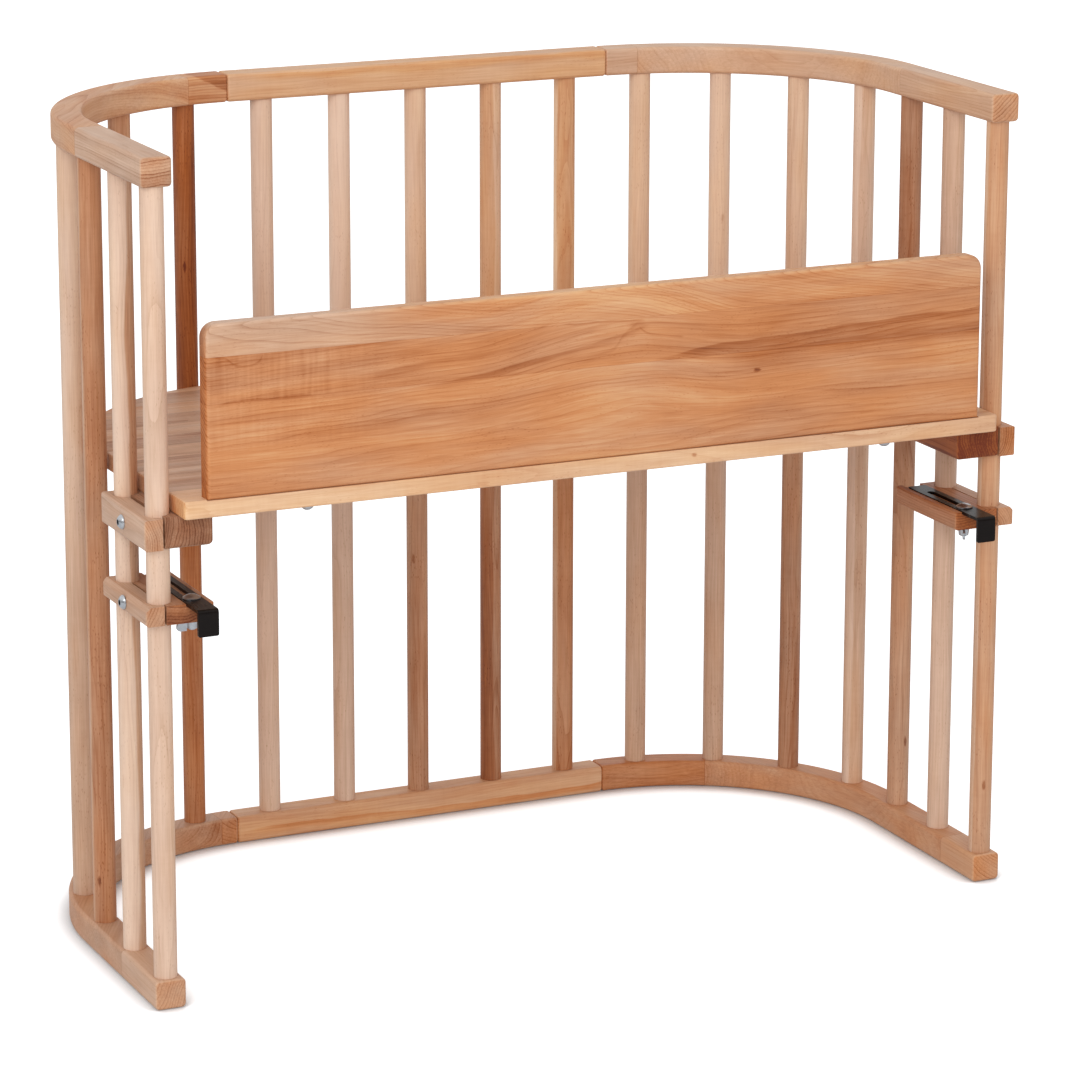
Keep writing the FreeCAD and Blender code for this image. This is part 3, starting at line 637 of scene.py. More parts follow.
# %% Rail recipe
def rail_recipe():
    tree, given = recipe("rail", Path="Object", Pockets="Object", Width="Float", Height="Float",
                         Edge_round="Float", End_round="Float", Rows="Int", Material="Material")
    path = shape_of(tree, given["Path"])
    length = add(tree, "GeometryNodeCurveLength", {0: path}).outputs[0]
    rows = add(tree, "GeometryNodeResampleCurve",
               {"Curve": path, "Count": given["Rows"]}).outputs[0]
    end_rows, corner_steps = 6, 6
    number = add(tree, "GeometryNodeInputIndex").outputs[0]
    last = calc(tree, "SUBTRACT", given["Rows"], 1)
    quarter = math.pi / 2

    def swing(count):
        """Turns from 0 to a quarter over the first rows, counted from one end."""
        share = calc(tree, "DIVIDE", count, end_rows)
        return calc(tree, "MULTIPLY", clamped(tree, share), quarter)

    start = swing(number)
    end = swing(calc(tree, "SUBTRACT", last, number))
    run = calc(tree, "DIVIDE", calc(tree, "SUBTRACT", number, end_rows),
               calc(tree, "SUBTRACT", last, 2 * end_rows))
    run = clamped(tree, run)
    radius = given["End round"]
    at_start = calc(tree, "SUBTRACT", 1, calc(tree, "COSINE", start))
    at_start = calc(tree, "MULTIPLY", radius, at_start)
    inner = calc(tree, "MULTIPLY", calc(tree, "MULTIPLY_ADD", radius, -2, length), run)
    at_end = calc(tree, "MULTIPLY", radius, calc(tree, "COSINE", end))
    distance = calc(tree, "ADD", calc(tree, "ADD", at_start, inner), at_end)
    both_sines = calc(tree, "ADD", calc(tree, "SINE", start), calc(tree, "SINE", end))
    inset = calc(tree, "MULTIPLY", radius, calc(tree, "SUBTRACT", 2, both_sines))
    breadth = calc(tree, "MULTIPLY", calc(tree, "ADD", given["Width"], given["Height"]), 0.25)
    shrink = calc(tree, "SUBTRACT", 1, calc(tree, "DIVIDE", inset, breadth))

    point = add(tree, "GeometryNodeSampleCurve", {"Curves": path, "Length": distance},
                mode="LENGTH", use_all_curves=True).outputs["Position"]
    marked = written(tree, rows, "along", calc(tree, "MULTIPLY", distance, 1000))
    marked = written(tree, marked, "shrink", shrink)
    spaced = add(tree, "GeometryNodeSetPosition",
                 {"Geometry": marked, "Position": point}).outputs[0]
    upright = add(tree, "GeometryNodeSetCurveNormal", {"Curve": spaced}, mode="Z_UP").outputs[0]
    section = add(tree, "GeometryNodeCurvePrimitiveQuadrilateral",
                  {"Width": given["Width"], "Height": given["Height"]},
                  mode="RECTANGLE").outputs[0]
    section = add(tree, "GeometryNodeFilletCurve",
                  {"Curve": section, "Count": corner_steps, "Radius": given["Edge round"]},
                  mode="POLY").outputs[0]
    rail = swept(tree, upright, section, read_back(tree, "shrink"))
    rail = carved(tree, rail, shape_of(tree, given["Pockets"]))
    served(tree, smoothed(tree, rail), given["Material"])
    return tree


rail_plan = rail_recipe()
print("rail recipe:", len(rail_plan.nodes), "nodes")

# %% [markdown]
# The rails' sizes and places repeat the CAD's, in metres. `rail_spot` gives a point and
# a direction on a side rail's middle line at any distance from its joint: the wood needs
# it to know how each glued board lies. The direction of the grain in a board is the
# rail's own direction at the board's middle.

# %% Rail sizes and places
mm = 0.001
rail_width, rail_height = 30 * mm, 28 * mm
edge_round, end_round = 4 * mm, 3 * mm
bend_radius = 227 * mm
joint_x = 208 * mm
line_x = 435 * mm
line_y = 223 * mm
bend_y = line_y - bend_radius
front_y = -212 * mm
bend_run = bend_radius * math.pi / 2
rail_run = bend_run + bend_y - front_y
levels = {"bottom": 14 * mm, "top": 786 * mm}


def rail_spot(side, distance):
    """A point on a side rail's middle line, and the angle of its direction."""
    if distance < bend_run:
        angle = distance / bend_radius
        x = joint_x + bend_radius * math.sin(angle)
        y = bend_y + bend_radius * math.cos(angle)
        heading = -angle
    else:
        x, y, heading = line_x, bend_y - (distance - bend_run), -math.pi / 2
    return (x, y, heading) if side > 0 else (-x, y, math.pi - heading)


print("a side rail's middle line is %.1f mm long" % (rail_run * 1000))

# %% [markdown]
# The wood of a side rail reads the distance along it, finds its board, and turns the
# place about that board's middle. Each board is given as: its first millimetre, seed,
# tone, warmth, heart, how clear its rings are, how far its pith lies beside and above it,
# and a further turn, because one board of the lower left rail lies across its neighbours.
# The upper left rail has a dark figure where it meets the straight rail.

# %% Wood of the rails
def side_rail_wood(name, side, height, boards, figure=0.0):
    """Beech in boards glued end to end along a side rail."""
    material, tree = blank(name)
    firsts, seeds, tones, warmths, hearts, rings, piths, turns = zip(*boards)
    starts = [*firsts, rail_run * 1000]
    along = add(tree, "ShaderNodeAttribute", attribute_name="along").outputs["Fac"]
    middles = [rail_spot(side, (a + b) / 2 * mm) for a, b in zip(starts, starts[1:])]

    def stepped(values):
        return glued(tree, along, starts[1:-1], values)

    source = add(tree, "ShaderNodeTexCoord").outputs
    centre = joined(tree, stepped([spot[0] for spot in middles]),
                    stepped([spot[1] for spot in middles]), height)
    heading = stepped([-(spot[2] + math.radians(turn)) for spot, turn in zip(middles, turns)])
    offset = vector(tree, "SUBTRACT", source["Object"], centre)
    place = add(tree, "ShaderNodeVectorRotate", {"Vector": offset, "Angle": heading},
                rotation_type="Z_AXIS").outputs[0]
    place = vector(tree, "MULTIPLY", place, TO_MM)
    facing = add(tree, "ShaderNodeVectorRotate", {"Vector": source["Normal"], "Angle": heading},
                 rotation_type="Z_AXIS").outputs[0]
    pith = joined(tree, 0.0, *(stepped(reaches) for reaches in zip(*piths)))
    tone = glue_lines(tree, stepped(tones), along, starts[1:-1], 0.2, 0.6, 0.14)
    slant = calc(tree, "MULTIPLY_ADD", along, -0.45, parts(tree, place)["Z"])
    slant = calc(tree, "ADD", slant, stave_noise(tree, place, (12.0, 6.0, 6.0), 5.0))
    tone = calc(tree, "ADD", tone, between(tree, slant, -4.0, -1.0, 0.0, figure))
    planed(tree, place, facing, pith=pith, seed=stepped(seeds), tone=tone, ring_width=2.9,
           warmth=stepped(warmths), heart=stepped(hearts), rings=stepped(rings))
    return material


def centre_rail_wood(name, height, seed, tone, warmth, heart, pith, course, weight):
    """Beech of a straight rail in one length, with a redder layer below a wavy line."""
    material, tree = blank(name)
    place, facing = laid(tree, (0, line_y, height), "X")
    red = streak(tree, place, course, 0.8, 9.0, 1.0)
    planed(tree, place, facing, pith=pith, seed=seed, heart=heart, ring_width=2.7, rings=0.5,
           tone=calc(tree, "MULTIPLY_ADD", red, weight, tone),
           warmth=calc(tree, "MULTIPLY_ADD", red, 0.5, warmth))
    return material


rail_woods = {
    "top_rail_left": side_rail_wood("beech top rail left", -1, levels["top"], (
        (0, 3.1, 0.42, 0.85, 0.30, 1.4, (10, -90), 0.0),
        (46, 5.7, 0.38, 0.66, 0.1, 1.0, (12, -90), 0.0),
        (386, 7.4, 0.35, 0.12, 0.0, 1.2, (6, -90), 0.0)), figure=0.24),
    "bottom_rail_left": side_rail_wood("beech bottom rail left", -1, levels["bottom"], (
        (0, 12.3, 0.50, 0.45, 0.1, 0.5, (40, 46), 58.0),
        (19.5, 14.9, 0.50, 0.30, 0.1, 0.2, (64, 30), 0.0),
        (469, 16.2, 0.36, 0.22, 0.0, 0.25, (64, -22), 0.0))),
    "bottom_rail_right": side_rail_wood("beech bottom rail right", 1, levels["bottom"], (
        (0, 21.2, 0.60, 0.80, 0.1, 0.6, (20, 56), 0.0),
        (120.5, 23.8, 0.48, 0.62, 0.1, 0.3, (64, 18), 0.0),
        (498.5, 26.1, 0.40, 0.52, 0.0, 0.35, (36, 54), 0.0))),
    "top_rail_right": side_rail_wood("beech top rail right", 1, levels["top"], (
        (0, 31.5, 0.38, 0.40, 0.1, 0.6, (18, 60), 0.0),
        (36.5, 33.2, 0.31, 0.36, 0.05, 0.4, (60, 24), 0.0),
        (382, 36.8, 0.34, 0.28, 0.05, 0.9, (-48, 48), 0.0))),
    "top_rail_centre": centre_rail_wood(
        "beech top rail centre", levels["top"], 41.3, 0.30, 0.72, 0.05, (0, 24.0, 60.0),
        ((-210, 14), (-60, 11), (90, 13), (210, 10)), 0.06),
    "bottom_rail_centre": centre_rail_wood(
        "beech bottom rail centre", levels["bottom"], 44.8, 0.34, 0.70, 0.1, (0, 18.0, 66.0),
        ((-210, -6), (-160, 0), (-100, -1), (60, -5), (210, -3)), 0.15),
}

# %% [markdown]
# Before the rails are grown, the cutters for their pockets are made: two pockets
# under a centre rail, where a spanner reaches the bolt heads, and a round hole under
# each side rail for the barrel nut. They are guides too, and go away afterwards.

# %% Grow the rails
def box_shape(low, high):
    """Corners and outward faces of a block."""
    corners = [(x, y, z) for x in (low[0], high[0])
               for y in (low[1], high[1]) for z in (low[2], high[2])]
    faces = [(0, 1, 3, 2), (4, 6, 7, 5), (0, 4, 5, 1), (2, 3, 7, 6), (0, 2, 6, 4), (1, 5, 7, 3)]
    return corners, faces


def post_shape(centre, radius, bottom, top, sides=32):
    """Corners and outward faces of an upright post."""
    ring = [(centre[0] + radius * math.cos(2 * math.pi * k / sides),
             centre[1] + radius * math.sin(2 * math.pi * k / sides)) for k in range(sides)]
    corners = [(x, y, bottom) for x, y in ring] + [(x, y, top) for x, y in ring]
    faces = [(k, (k + 1) % sides, sides + (k + 1) % sides, sides + k) for k in range(sides)]
    faces += [tuple(reversed(range(sides))), tuple(range(sides, 2 * sides))]
    return corners, faces


def cutter(name, *shapes):
    """One guide mesh from several shapes."""
    corners, faces = [], []
    for shape_corners, shape_faces in shapes:
        faces += [tuple(len(corners) + index for index in face) for face in shape_faces]
        corners += shape_corners
    mesh = bpy.data.meshes.new(name)
    mesh.from_pydata(corners, [], faces)
    return linked(name, mesh)


pocket_end, pocket_length, pocket_half = joint_x - 18 * mm, 12 * mm, 7 * mm
nut_x, nut_radius = joint_x + 20 * mm, 5.05 * mm
pocket_roof = 7 * mm
reach = 1 * mm
quarter_circle_pull = 0.5523
handle = quarter_circle_pull * bend_radius
for level, height in levels.items():
    low = height - rail_height / 2
    bottom, roof = low - reach, height + pocket_roof
    cuts = [box_shape((side * pocket_end - (pocket_length if side > 0 else 0),
                       line_y - pocket_half, bottom),
                      (side * pocket_end + (pocket_length if side < 0 else 0),
                       line_y + pocket_half, roof)) for side in (-1, 1)]
    guides = {0: (drawn("path", [(-joint_x, line_y, height), (joint_x, line_y, height)]),
                  cutter("pockets", *cuts), 40)}
    for side in (-1, 1):
        spots = [(side * joint_x, line_y, height), (side * line_x, bend_y, height),
                 (side * line_x, front_y, height)]
        out, down = Vector((side * handle, 0, 0)), Vector((0, -handle, 0))
        leg = Vector((0, (front_y - bend_y) / 3, 0))
        pulls = [(Vector(spots[0]) - out, Vector(spots[0]) + out),
                 (Vector(spots[1]) - down, Vector(spots[1]) + leg),
                 (Vector(spots[2]) - leg, Vector(spots[2]) + leg)]
        hole = post_shape((side * nut_x, line_y), nut_radius, bottom, roof)
        guides[side] = (drawn("path", spots, pulls), cutter("pockets", hole), 88)
    for side, (path, pockets, rows) in guides.items():
        name = "%s_rail_%s" % (level, {-1: "left", 0: "centre", 1: "right"}[side])
        piece = grown(name + ".beech", rail_plan, Path=path, Pockets=pockets, Width=rail_width,
                      Height=rail_height, Edge_round=edge_round, End_round=end_round, Rows=rows,
                      Material=rail_woods[name])
        stands_for(piece, "frame", "rail_beech", name)
        put_away(path)
        put_away(pockets)
        print(name, "has", len(piece.data.polygons), "faces")

# %% [markdown]
# ## The spindles
# Nineteen spindles are turned on a lathe: a round bar with a thinner tenon at each end.
# A lathe is a curve too: the outline gives a radius for each height, the recipe pulls
# its points onto the middle line, remembers each radius, and sweeps a circle along the
# line at that scale. The same recipe will turn the bolt heads.

# %% Lathe recipe
def lathe_recipe():
    tree, given = recipe("lathe", Outline="Object", Sides="Int", Socket_width="Float",
                         Socket_floor="Float", Socket_top="Float", Place="Vector",
                         Material="Material")
    spot = parts(tree, add(tree, "GeometryNodeInputPosition").outputs[0])
    marked = written(tree, shape_of(tree, given["Outline"]), "reach", spot["X"])
    axis = add(tree, "GeometryNodeSetPosition",
               {"Geometry": marked, "Position": joined(tree, 0, 0, spot["Z"])}).outputs[0]
    circle = add(tree, "GeometryNodeCurvePrimitiveCircle",
                 {"Resolution": given["Sides"], "Radius": 1.0}, mode="RADIUS").outputs[0]
    turned = swept(tree, axis, circle, read_back(tree, "reach"))
    depth = calc(tree, "SUBTRACT", given["Socket top"], given["Socket floor"])
    corner_reach = calc(tree, "DIVIDE", given["Socket width"], math.sqrt(3))
    socket = add(tree, "GeometryNodeMeshCylinder",
                 {"Vertices": 6, "Radius": corner_reach, "Depth": depth}).outputs[0]
    middle = calc(tree, "ADD", given["Socket top"], given["Socket floor"])
    middle = calc(tree, "MULTIPLY", middle, 0.5)
    socket = moved(tree, socket, joined(tree, 0, 0, middle))
    # The socket's walls are marked, so that the turned zinc can paint shade into the recess.
    socket = written(tree, socket, "hollow", 1.0, domain="FACE")
    cut = carved(tree, turned, socket)
    has_socket = add(tree, "FunctionNodeCompare", {0: given["Socket width"], 1: 0.0},
                     data_type="FLOAT", operation="GREATER_THAN").outputs[0]
    either = add(tree, "GeometryNodeSwitch", {0: has_socket, 1: turned, 2: cut},
                 input_type="GEOMETRY").outputs[0]
    served(tree, smoothed(tree, moved(tree, either, given["Place"])), given["Material"])
    return tree


lathe = lathe_recipe()
print("lathe recipe:", len(lathe.nodes), "nodes")

# %% [markdown]
# No two spindles are alike: most are pale, a few come from the heart of the tree and are
# brown and streaked. The list gives each one a tone near its top and near its foot, a
# warmth and how much heart it holds. Tones run from 0, pale, to 1, dark brown. Some have
# one cheek of darker wood, given by its turn to the right of the camera, its distance from
# the middle and how much darker and warmer it is, and some have a small knot, given by its
# level, turn and weight. The seed and the pith change with the spindle's number, so that
# rings never line up.

# %% Turn the spindles
SPINDLES = {
    "back_1": (0.10, 0.24, 0.03, 0.0), "back_2": (0.00, 0.28, 0.00, 0.0),
    "back_3": (0.17, 0.56, 0.38, 0.2), "back_4": (0.20, 0.61, 0.48, 0.2),
    "back_5": (0.03, 0.36, 0.52, 0.3), "right_1": (0.13, 0.36, 0.24, 0.0),
    "right_2": (0.04, 0.38, 0.12, 0.0), "right_3": (0.14, 0.60, 0.26, 0.2),
    "right_4": (0.10, 0.25, 0.00, 0.0), "right_5": (0.63, 0.52, 0.30, 0.3),
    "right_6": (0.36, 0.28, 0.00, 0.0), "right_7": (0.31, 0.30, 0.26, 0.2),
    "left_7": (0.21, 0.20, 0.05, 0.0), "left_6": (0.16, 0.12, 0.00, 0.1),
    "left_5": (0.38, 0.45, 0.34, 0.2), "left_4": (0.17, 0.40, 0.09, 0.1),
    "left_3": (0.38, 0.44, 0.20, 0.1), "left_2": (0.48, 0.48, 0.40, 0.2),
    "left_1": (0.78, 0.64, 0.78, 0.15),
}
CHEEKS = {
    "right_7": (38.0, 1.0, 0.16, 0.25), "left_6": (66.0, 9.0, 0.30, 0.35),
    "left_5": (35.0, 0.5, 0.16, 0.2), "right_4": (55.0, 3.0, 0.14, 0.2),
    "back_4": (-50.0, 4.0, 0.12, 0.2), "back_5": (30.0, 4.5, 0.20, 0.2),
}
KNOTS = {
    "right_5": ((-303.0, 35.0, 0.34),), "right_7": ((-300.0, 10.0, 0.28),),
    "right_2": ((220.0, 20.0, 0.24),), "left_5": ((-330.0, -20.0, 0.3),),
    "left_1": ((210.0, 0.0, 0.3), (-60.0, 30.0, 0.3)), "back_3": ((-120.0, -20.0, 0.2),),
}
PITH_REACH, PITH_TURN = 26, 2.4
spindle_radius, tenon_radius, tenon_length = 11 * mm, 7 * mm, 14 * mm
camera_side = math.atan2(-math.cos(yaw), math.sin(yaw))


def spindle_side(turn):
    """The way, in a spindle's timber, that faces the camera or is turned from it to the right."""
    angle = camera_side - math.radians(turn)
    return Vector((0.0, math.sin(angle), math.cos(angle)))


def spindle_wood(name, node, number, top_tone, foot_tone, warmth, heart):
    """Turned beech with its grain upright."""
    material, tree = blank("beech " + node)
    place, facing = laid(tree, middle_of(node), "Z")
    height = parts(tree, place)["X"]
    tone = between(tree, height, -180.0, 180.0, foot_tone, top_tone)
    if name in CHEEKS:
        turn, edge, darker, warmer = CHEEKS[name]
        side = add(tree, "ShaderNodeVectorMath", {0: place, 1: spindle_side(turn)},
                   operation="DOT_PRODUCT").outputs["Value"]
        side = calc(tree, "ADD", side, stave_noise(tree, place, (160.0, 30.0, 30.0), 9.0))
        cheek = between(tree, side, edge - 0.8, edge + 0.8)
        tone = calc(tree, "MULTIPLY_ADD", cheek, darker, tone)
        warmth = calc(tree, "MULTIPLY_ADD", cheek, warmer, warmth)
    for level, turn, weight in KNOTS.get(name, ()):
        eye = spindle_side(turn) * spindle_radius / mm + Vector((level, 0.0, 0.0))
        tone = calc(tree, "ADD", tone, knot(tree, place, eye, (7.0, 2.4, 2.4), weight))
    angle = PITH_TURN * number
    pith = (0.0, PITH_REACH * math.cos(angle), PITH_REACH * math.sin(angle))
    planed(tree, place, facing, pith=pith, seed=3.7 * number + 0.9, tone=tone, warmth=warmth,
           heart=heart, ring_width=2.4 + 0.25 * (number % 4), rings=0.6,
           tilt=(0.0, 0.012 * ((number % 3) - 1), 0.0), flecks=1.0)
    return material


shoulder, half_height, tip = 0.2 * mm, 372 * mm, 1 * mm
outline_points = [(tenon_radius - tip, -half_height - tenon_length),
                  (tenon_radius, -half_height - tenon_length + tip),
                  (tenon_radius, -half_height - shoulder),
                  (spindle_radius - shoulder, -half_height),
                  (spindle_radius, -half_height + shoulder)]
steps = 6
rod_points = [(spindle_radius, half_height * (2 * k / steps - 1)) for k in range(1, steps)]
outline_points += rod_points + [(r, -z) for r, z in reversed(outline_points)]
outline = drawn("spindle outline", [(r, 0, z) for r, z in outline_points])
for number, (name, wood) in enumerate(SPINDLES.items()):
    node = "spindle_" + name
    centre = middle_of(node)
    piece = grown(node + ".beech", lathe, Outline=outline, Sides=48, Place=centre,
                  Material=spindle_wood(name, node, number + 1, *wood))
    stands_for(piece, "frame", "spindle_beech", node)
put_away(outline)
print(len(SPINDLES), "spindles, each with", len(piece.data.polygons), "faces")

# %% [markdown]
# ## The front board and the platform
# Both are glued up from staves that run the cot's length. The front board is the piece
# everyone looks at: four staves of warm beech. The top stave is pale at its left, and its
# glue line fades towards the right. The others are orange-brown, and dark heart streaks
# climb from the glue lines towards the right end. In the middle of the board the rings
# are bowed up, as where a saw grazes the side of a ring. Each streak is given as points
# in millimetres from the board's middle, how far it reaches above and below them, and its
# weight.

# %% Wood with staves
board_centre = middle_of("front_board")
board_low, board_high = (corner.z - board_centre.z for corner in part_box("front_board"))
stave_lines = [board_low * 1000 + height for height in (45.0, 88.5, 131.5)]

BOARD_STREAKS = (
    (((-250, 19), (-163, 29), (-110, 33), (-8, 46)), 3.0, 7.0, 0.08),
    (((-200, 5), (-150, 9), (-96, 17), (-8, 31), (30, 40)), 1.5, 8.0, 0.13),
    (((-393, 6), (-350, 8), (-300, 8.5)), 1.2, 3.0, 0.14),
    (((44, 9), (70, 12), (123, 18), (200, 20), (272, 25), (420, 30)), 1.6, 10.0, 0.18),
    (((110, 2), (200, 4), (300, 8), (420, 12)), 12.0, 20.0, 0.14),
    (((-50, 51.5), (33, 48)), 0.8, 2.5, 0.14),
    (((30, 49), (36, 38), (54, 32), (76, 29)), 1.0, 2.4, 0.13),
    (((-52, 17), (0, 21), (16, 36), (30, 46)), 2.0, 5.0, 0.07),
    (((200, -34), (266, -39), (318, -41)), 1.0, 3.0, 0.07),
    (((-397, 52), (-383, 50), (-364, 40), (-345, 52)), 1.2, 3.0, 0.10),
)


BOARD_EYES = (((156.0, -9.0, -11.0), (5.0, 20.0, 2.4), 0.34),
              ((30.0, -9.0, 43.0), (13.0, 20.0, 6.0), 0.10),
              ((-388.0, -9.0, 30.0), (16.0, 20.0, 30.0), 0.08))


def board_wood():
    """Four staves of warm beech: streaks, an eye, a rippled left end, a painted top highlight."""
    material, tree = blank("beech front board")
    place, facing = laid(tree, board_centre, "X")
    spot = parts(tree, place)

    def stepped(*values):
        return glued(tree, spot["Z"], stave_lines, values)

    blur = between(tree, spot["X"], -260.0, -60.0, 0.2, 15.0)
    above_line = calc(tree, "SUBTRACT", spot["Z"], stave_lines[2])
    upper = between(tree, calc(tree, "DIVIDE", above_line, blur), -1.0, 1.0, 0.0, -0.07)
    top = board_high * 1000
    # Painted highlight: the top millimetres of the board, its rounded top edge and top face, are
    # painted lighter, as where they face up to the light.
    painted_top_highlight = between(tree, spot["Z"], top - 3.0, top - 1.0, 0.0, -0.12)
    tone = stepped(0.51, 0.52, 0.55, 0.55)
    tone = calc(tree, "ADD", tone, calc(tree, "ADD", upper, painted_top_highlight))
    pale_end = calc(tree, "MULTIPLY", between(tree, spot["X"], -330.0, -120.0, -0.02, 0.0),
                    calc(tree, "GREATER_THAN", spot["Z"], stave_lines[2]))
    middle = calc(tree, "MULTIPLY", between(tree, spot["X"], -140.0, -10.0),
                  between(tree, spot["X"], 20.0, 150.0, 1.0, 0.0))
    tone = calc(tree, "MULTIPLY_ADD", middle, -0.07, calc(tree, "ADD", tone, pale_end))
    for points, above, below, weight in BOARD_STREAKS:
        tone = calc(tree, "ADD", tone, streak(tree, place, points, above, below, weight))
    for centre, size, weight in BOARD_EYES:
        tone = calc(tree, "ADD", tone, knot(tree, place, centre, size, weight))
    tone = glue_lines(tree, tone, spot["Z"], stave_lines[1:], 0.1, 0.5, 0.08)
    warmth = calc(tree, "ADD", stepped(0.90, 0.90, 0.84, 0.84),
                  calc(tree, "MULTIPLY", pale_end, 32.0))
    arch = calc(tree, "MULTIPLY", middle, between(tree, spot["Z"], -60.0, -20.0))
    bowed = joined(tree, spot["X"], spot["Y"], calc(tree, "MULTIPLY_ADD", arch, -15.0, spot["Z"]))
    curl = calc(tree, "MULTIPLY_ADD", between(tree, spot["X"], -300.0, -200.0, 1.0, 0.0),
                stepped(0.1, 0.5, 1.2, 0.1), 0.12)
    planed(tree, bowed, facing, tone=tone, warmth=warmth, curl=curl, flecks=0.5,
           pith=joined(tree, 0.0, 60.0, stepped(-110.0, -110.0, -130.0, -40.0)),
           tilt=joined(tree, 0.0, 0.02, stepped(0.0, 0.0, -0.04, 0.19)),
           seed=stepped(2.2, 2.2, 5.9, 9.4), heart=stepped(0.0, 0.0, 0.10, 0.0),
           ring_width=stepped(3.6, 3.6, 4.2, 2.6), rings=stepped(0.7, 0.7, 0.7, 0.9))
    return material


coat(nodes["front_board"], board_wood())

panel_centre = middle_of("platform_panel")
panel_low = (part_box("platform_panel")[0].y - panel_centre.y) * 1000
panel_stave = 42.0
panel_lines = [panel_low + panel_stave * k + (k % 3) for k in range(1, 11)]


def panel_wood():
    """Eleven staves of different tones, with an eye in the front edge."""
    material, tree = blank("beech platform panel")
    place, facing = laid(tree, panel_centre, "X")
    across = parts(tree, place)["Y"]
    tones = (0.26, 0.42, 0.34, 0.52, 0.40, 0.56, 0.42, 0.50, 0.36, 0.54, 0.44)
    warmths = (0.70, 0.2, 0.4, 0.15, 0.4, 0.2, 0.35, 0.2, 0.5, 0.25, 0.4)
    tone = glued(tree, across, panel_lines, tones)
    tone = glue_lines(tree, tone, across, panel_lines, 0.1, 0.5, 0.12)
    eye = knot(tree, place, (90.0, panel_low, 1.3), (3.5, 6.0, 2.6), 0.3)
    seeds = [1.9 + 4.3 * k for k in range(len(tones))]
    planed(tree, place, facing, pith=(0.0, 90.0, -60.0), tone=calc(tree, "ADD", tone, eye),
           seed=glued(tree, across, panel_lines, seeds),
           warmth=glued(tree, across, panel_lines, warmths),
           heart=0.12, ring_width=4.0, curl=0.4, flecks=1.0)
    return material


coat(nodes["platform_panel"], panel_wood())
print("front board staves end at", [round(line) for line in stave_lines], "mm from its middle")

# %% [markdown]
# ## Clamp pieces
# The bearers, bars and blocks that grip the spindles are short offcuts, so they show more
# end grain than the long pieces, and their colour differs from one to the next. Each
# gets its own place in the tree, and the side pieces have their grain along Y. The list
# gives each one's grain, tone, warmth, share of heart, and where its pith lies.

# %% Wood of the clamps and dowels
CLAMP_WOODS = {
    "platform_bearer_left": ("Y", 0.64, -0.2, 0.3, (70, 6)),
    "platform_bearer_right": ("Y", 0.80, 0.85, 0.3, (-70, 6)),
    "platform_bearer_back": ("X", 0.50, 0.35, 0.1, (30, 50)),
    "platform_bar_left": ("Y", 0.42, 0.0, 0.0, (60, -20)),
    "platform_bar_right": ("Y", 0.48, 0.45, 0.1, (60, 20)),
    "platform_bar_back": ("X", 0.48, 0.40, 0.1, (20, 60)),
    "left_bed_block": ("Y", 0.62, 0.25, 0.1, (5, 70)),
    "left_bed_bar": ("Y", 0.46, 0.10, 0.0, (60, 26)),
    "right_bed_block": ("Y", 0.60, 0.60, 0.1, (20, 60)),
    "right_bed_bar": ("Y", 0.42, 0.25, 0.1, (60, -24)),
}
for number, (node, (grain, tone, warmth, heart, pith)) in enumerate(CLAMP_WOODS.items()):
    material, tree = blank("beech " + node)
    place, facing = laid(tree, middle_of(node), grain)
    planed(tree, place, facing, pith=(0.0, *pith), seed=60.4 + 2.9 * number, tone=tone,
           warmth=warmth, heart=heart, ring_width=2.7, rings=0.8)
    coat(nodes[node], material)

for number, (node, grain) in enumerate((("rail_dowels", "X"), ("board_dowels", "Z"))):
    material, tree = blank("beech " + node)
    place, facing = laid(tree, (0, 0, 0), grain)
    planed(tree, place, facing, seed=90.5 + number, tone=0.34, warmth=0.4)
    coat(nodes[node], material)
print(len(CLAMP_WOODS), "clamp pieces dressed")

# %% [markdown]
# ## Steel
# The hooks are strip steel with a smooth black-brown coat, worn to bare metal along the
# edges where they rub. All other metal is bright zinc: it keeps the fine rings of the
# lathe on round heads, and a little cloudiness. A coat is not a metal in the shader's
# sense, so the hooks are a dark glossy plastic-like surface with metal only in the wear.

# %% Black hooks
def hook_coat(name, node):
    """Black-brown coat on a steel strip, worn along its long edges."""
    material, tree = blank(name)
    low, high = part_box(node)
    source = add(tree, "ShaderNodeTexCoord").outputs["Object"]
    offset = vector(tree, "SUBTRACT", source, (low + high) / 2)
    offset = vector(tree, "MULTIPLY", offset, TO_MM)
    spot = parts(tree, offset)
    half = (high.x - low.x) / 2 * 1000
    side = calc(tree, "SUBTRACT", half, calc(tree, "ABSOLUTE", spot["X"]))
    rub = scaled_noise(tree, offset, (0.5, 0.16, 0.5), 4.0, 0.6)
    scuff = calc(tree, "MULTIPLY", between(tree, side, 0.0, 0.35, 1.0, 0.0),
                 between(tree, rub, 0.56, 0.68))
    grime = scaled_noise(tree, offset, (0.09, 0.04, 0.09), 3.0)
    peel = scaled_noise(tree, offset, (0.9, 0.9, 0.9))
    brush = scaled_noise(tree, offset, (2.5, 0.05, 2.5))
    body = mixed(tree, grime, paint(12, 8, 7), paint(24, 16, 13))
    colour = mixed(tree, calc(tree, "MULTIPLY", scuff, 0.6), body, paint(110, 102, 96))
    rough = calc(tree, "MULTIPLY_ADD", brush, 0.22, calc(tree, "MULTIPLY_ADD", grime, 0.12, 0.14))
    look = {"Base Color": colour, "Metallic": calc(tree, "MULTIPLY", scuff, 0.7),
            "Roughness": rough, "Specular IOR Level": 0.16}
    surfaced(tree, look, peel, strength=0.3, distance=0.00006)
    return material


for side in ("left", "right"):
    coat(nodes[side + "_hook"], hook_coat("black coat " + side, side + "_hook"))

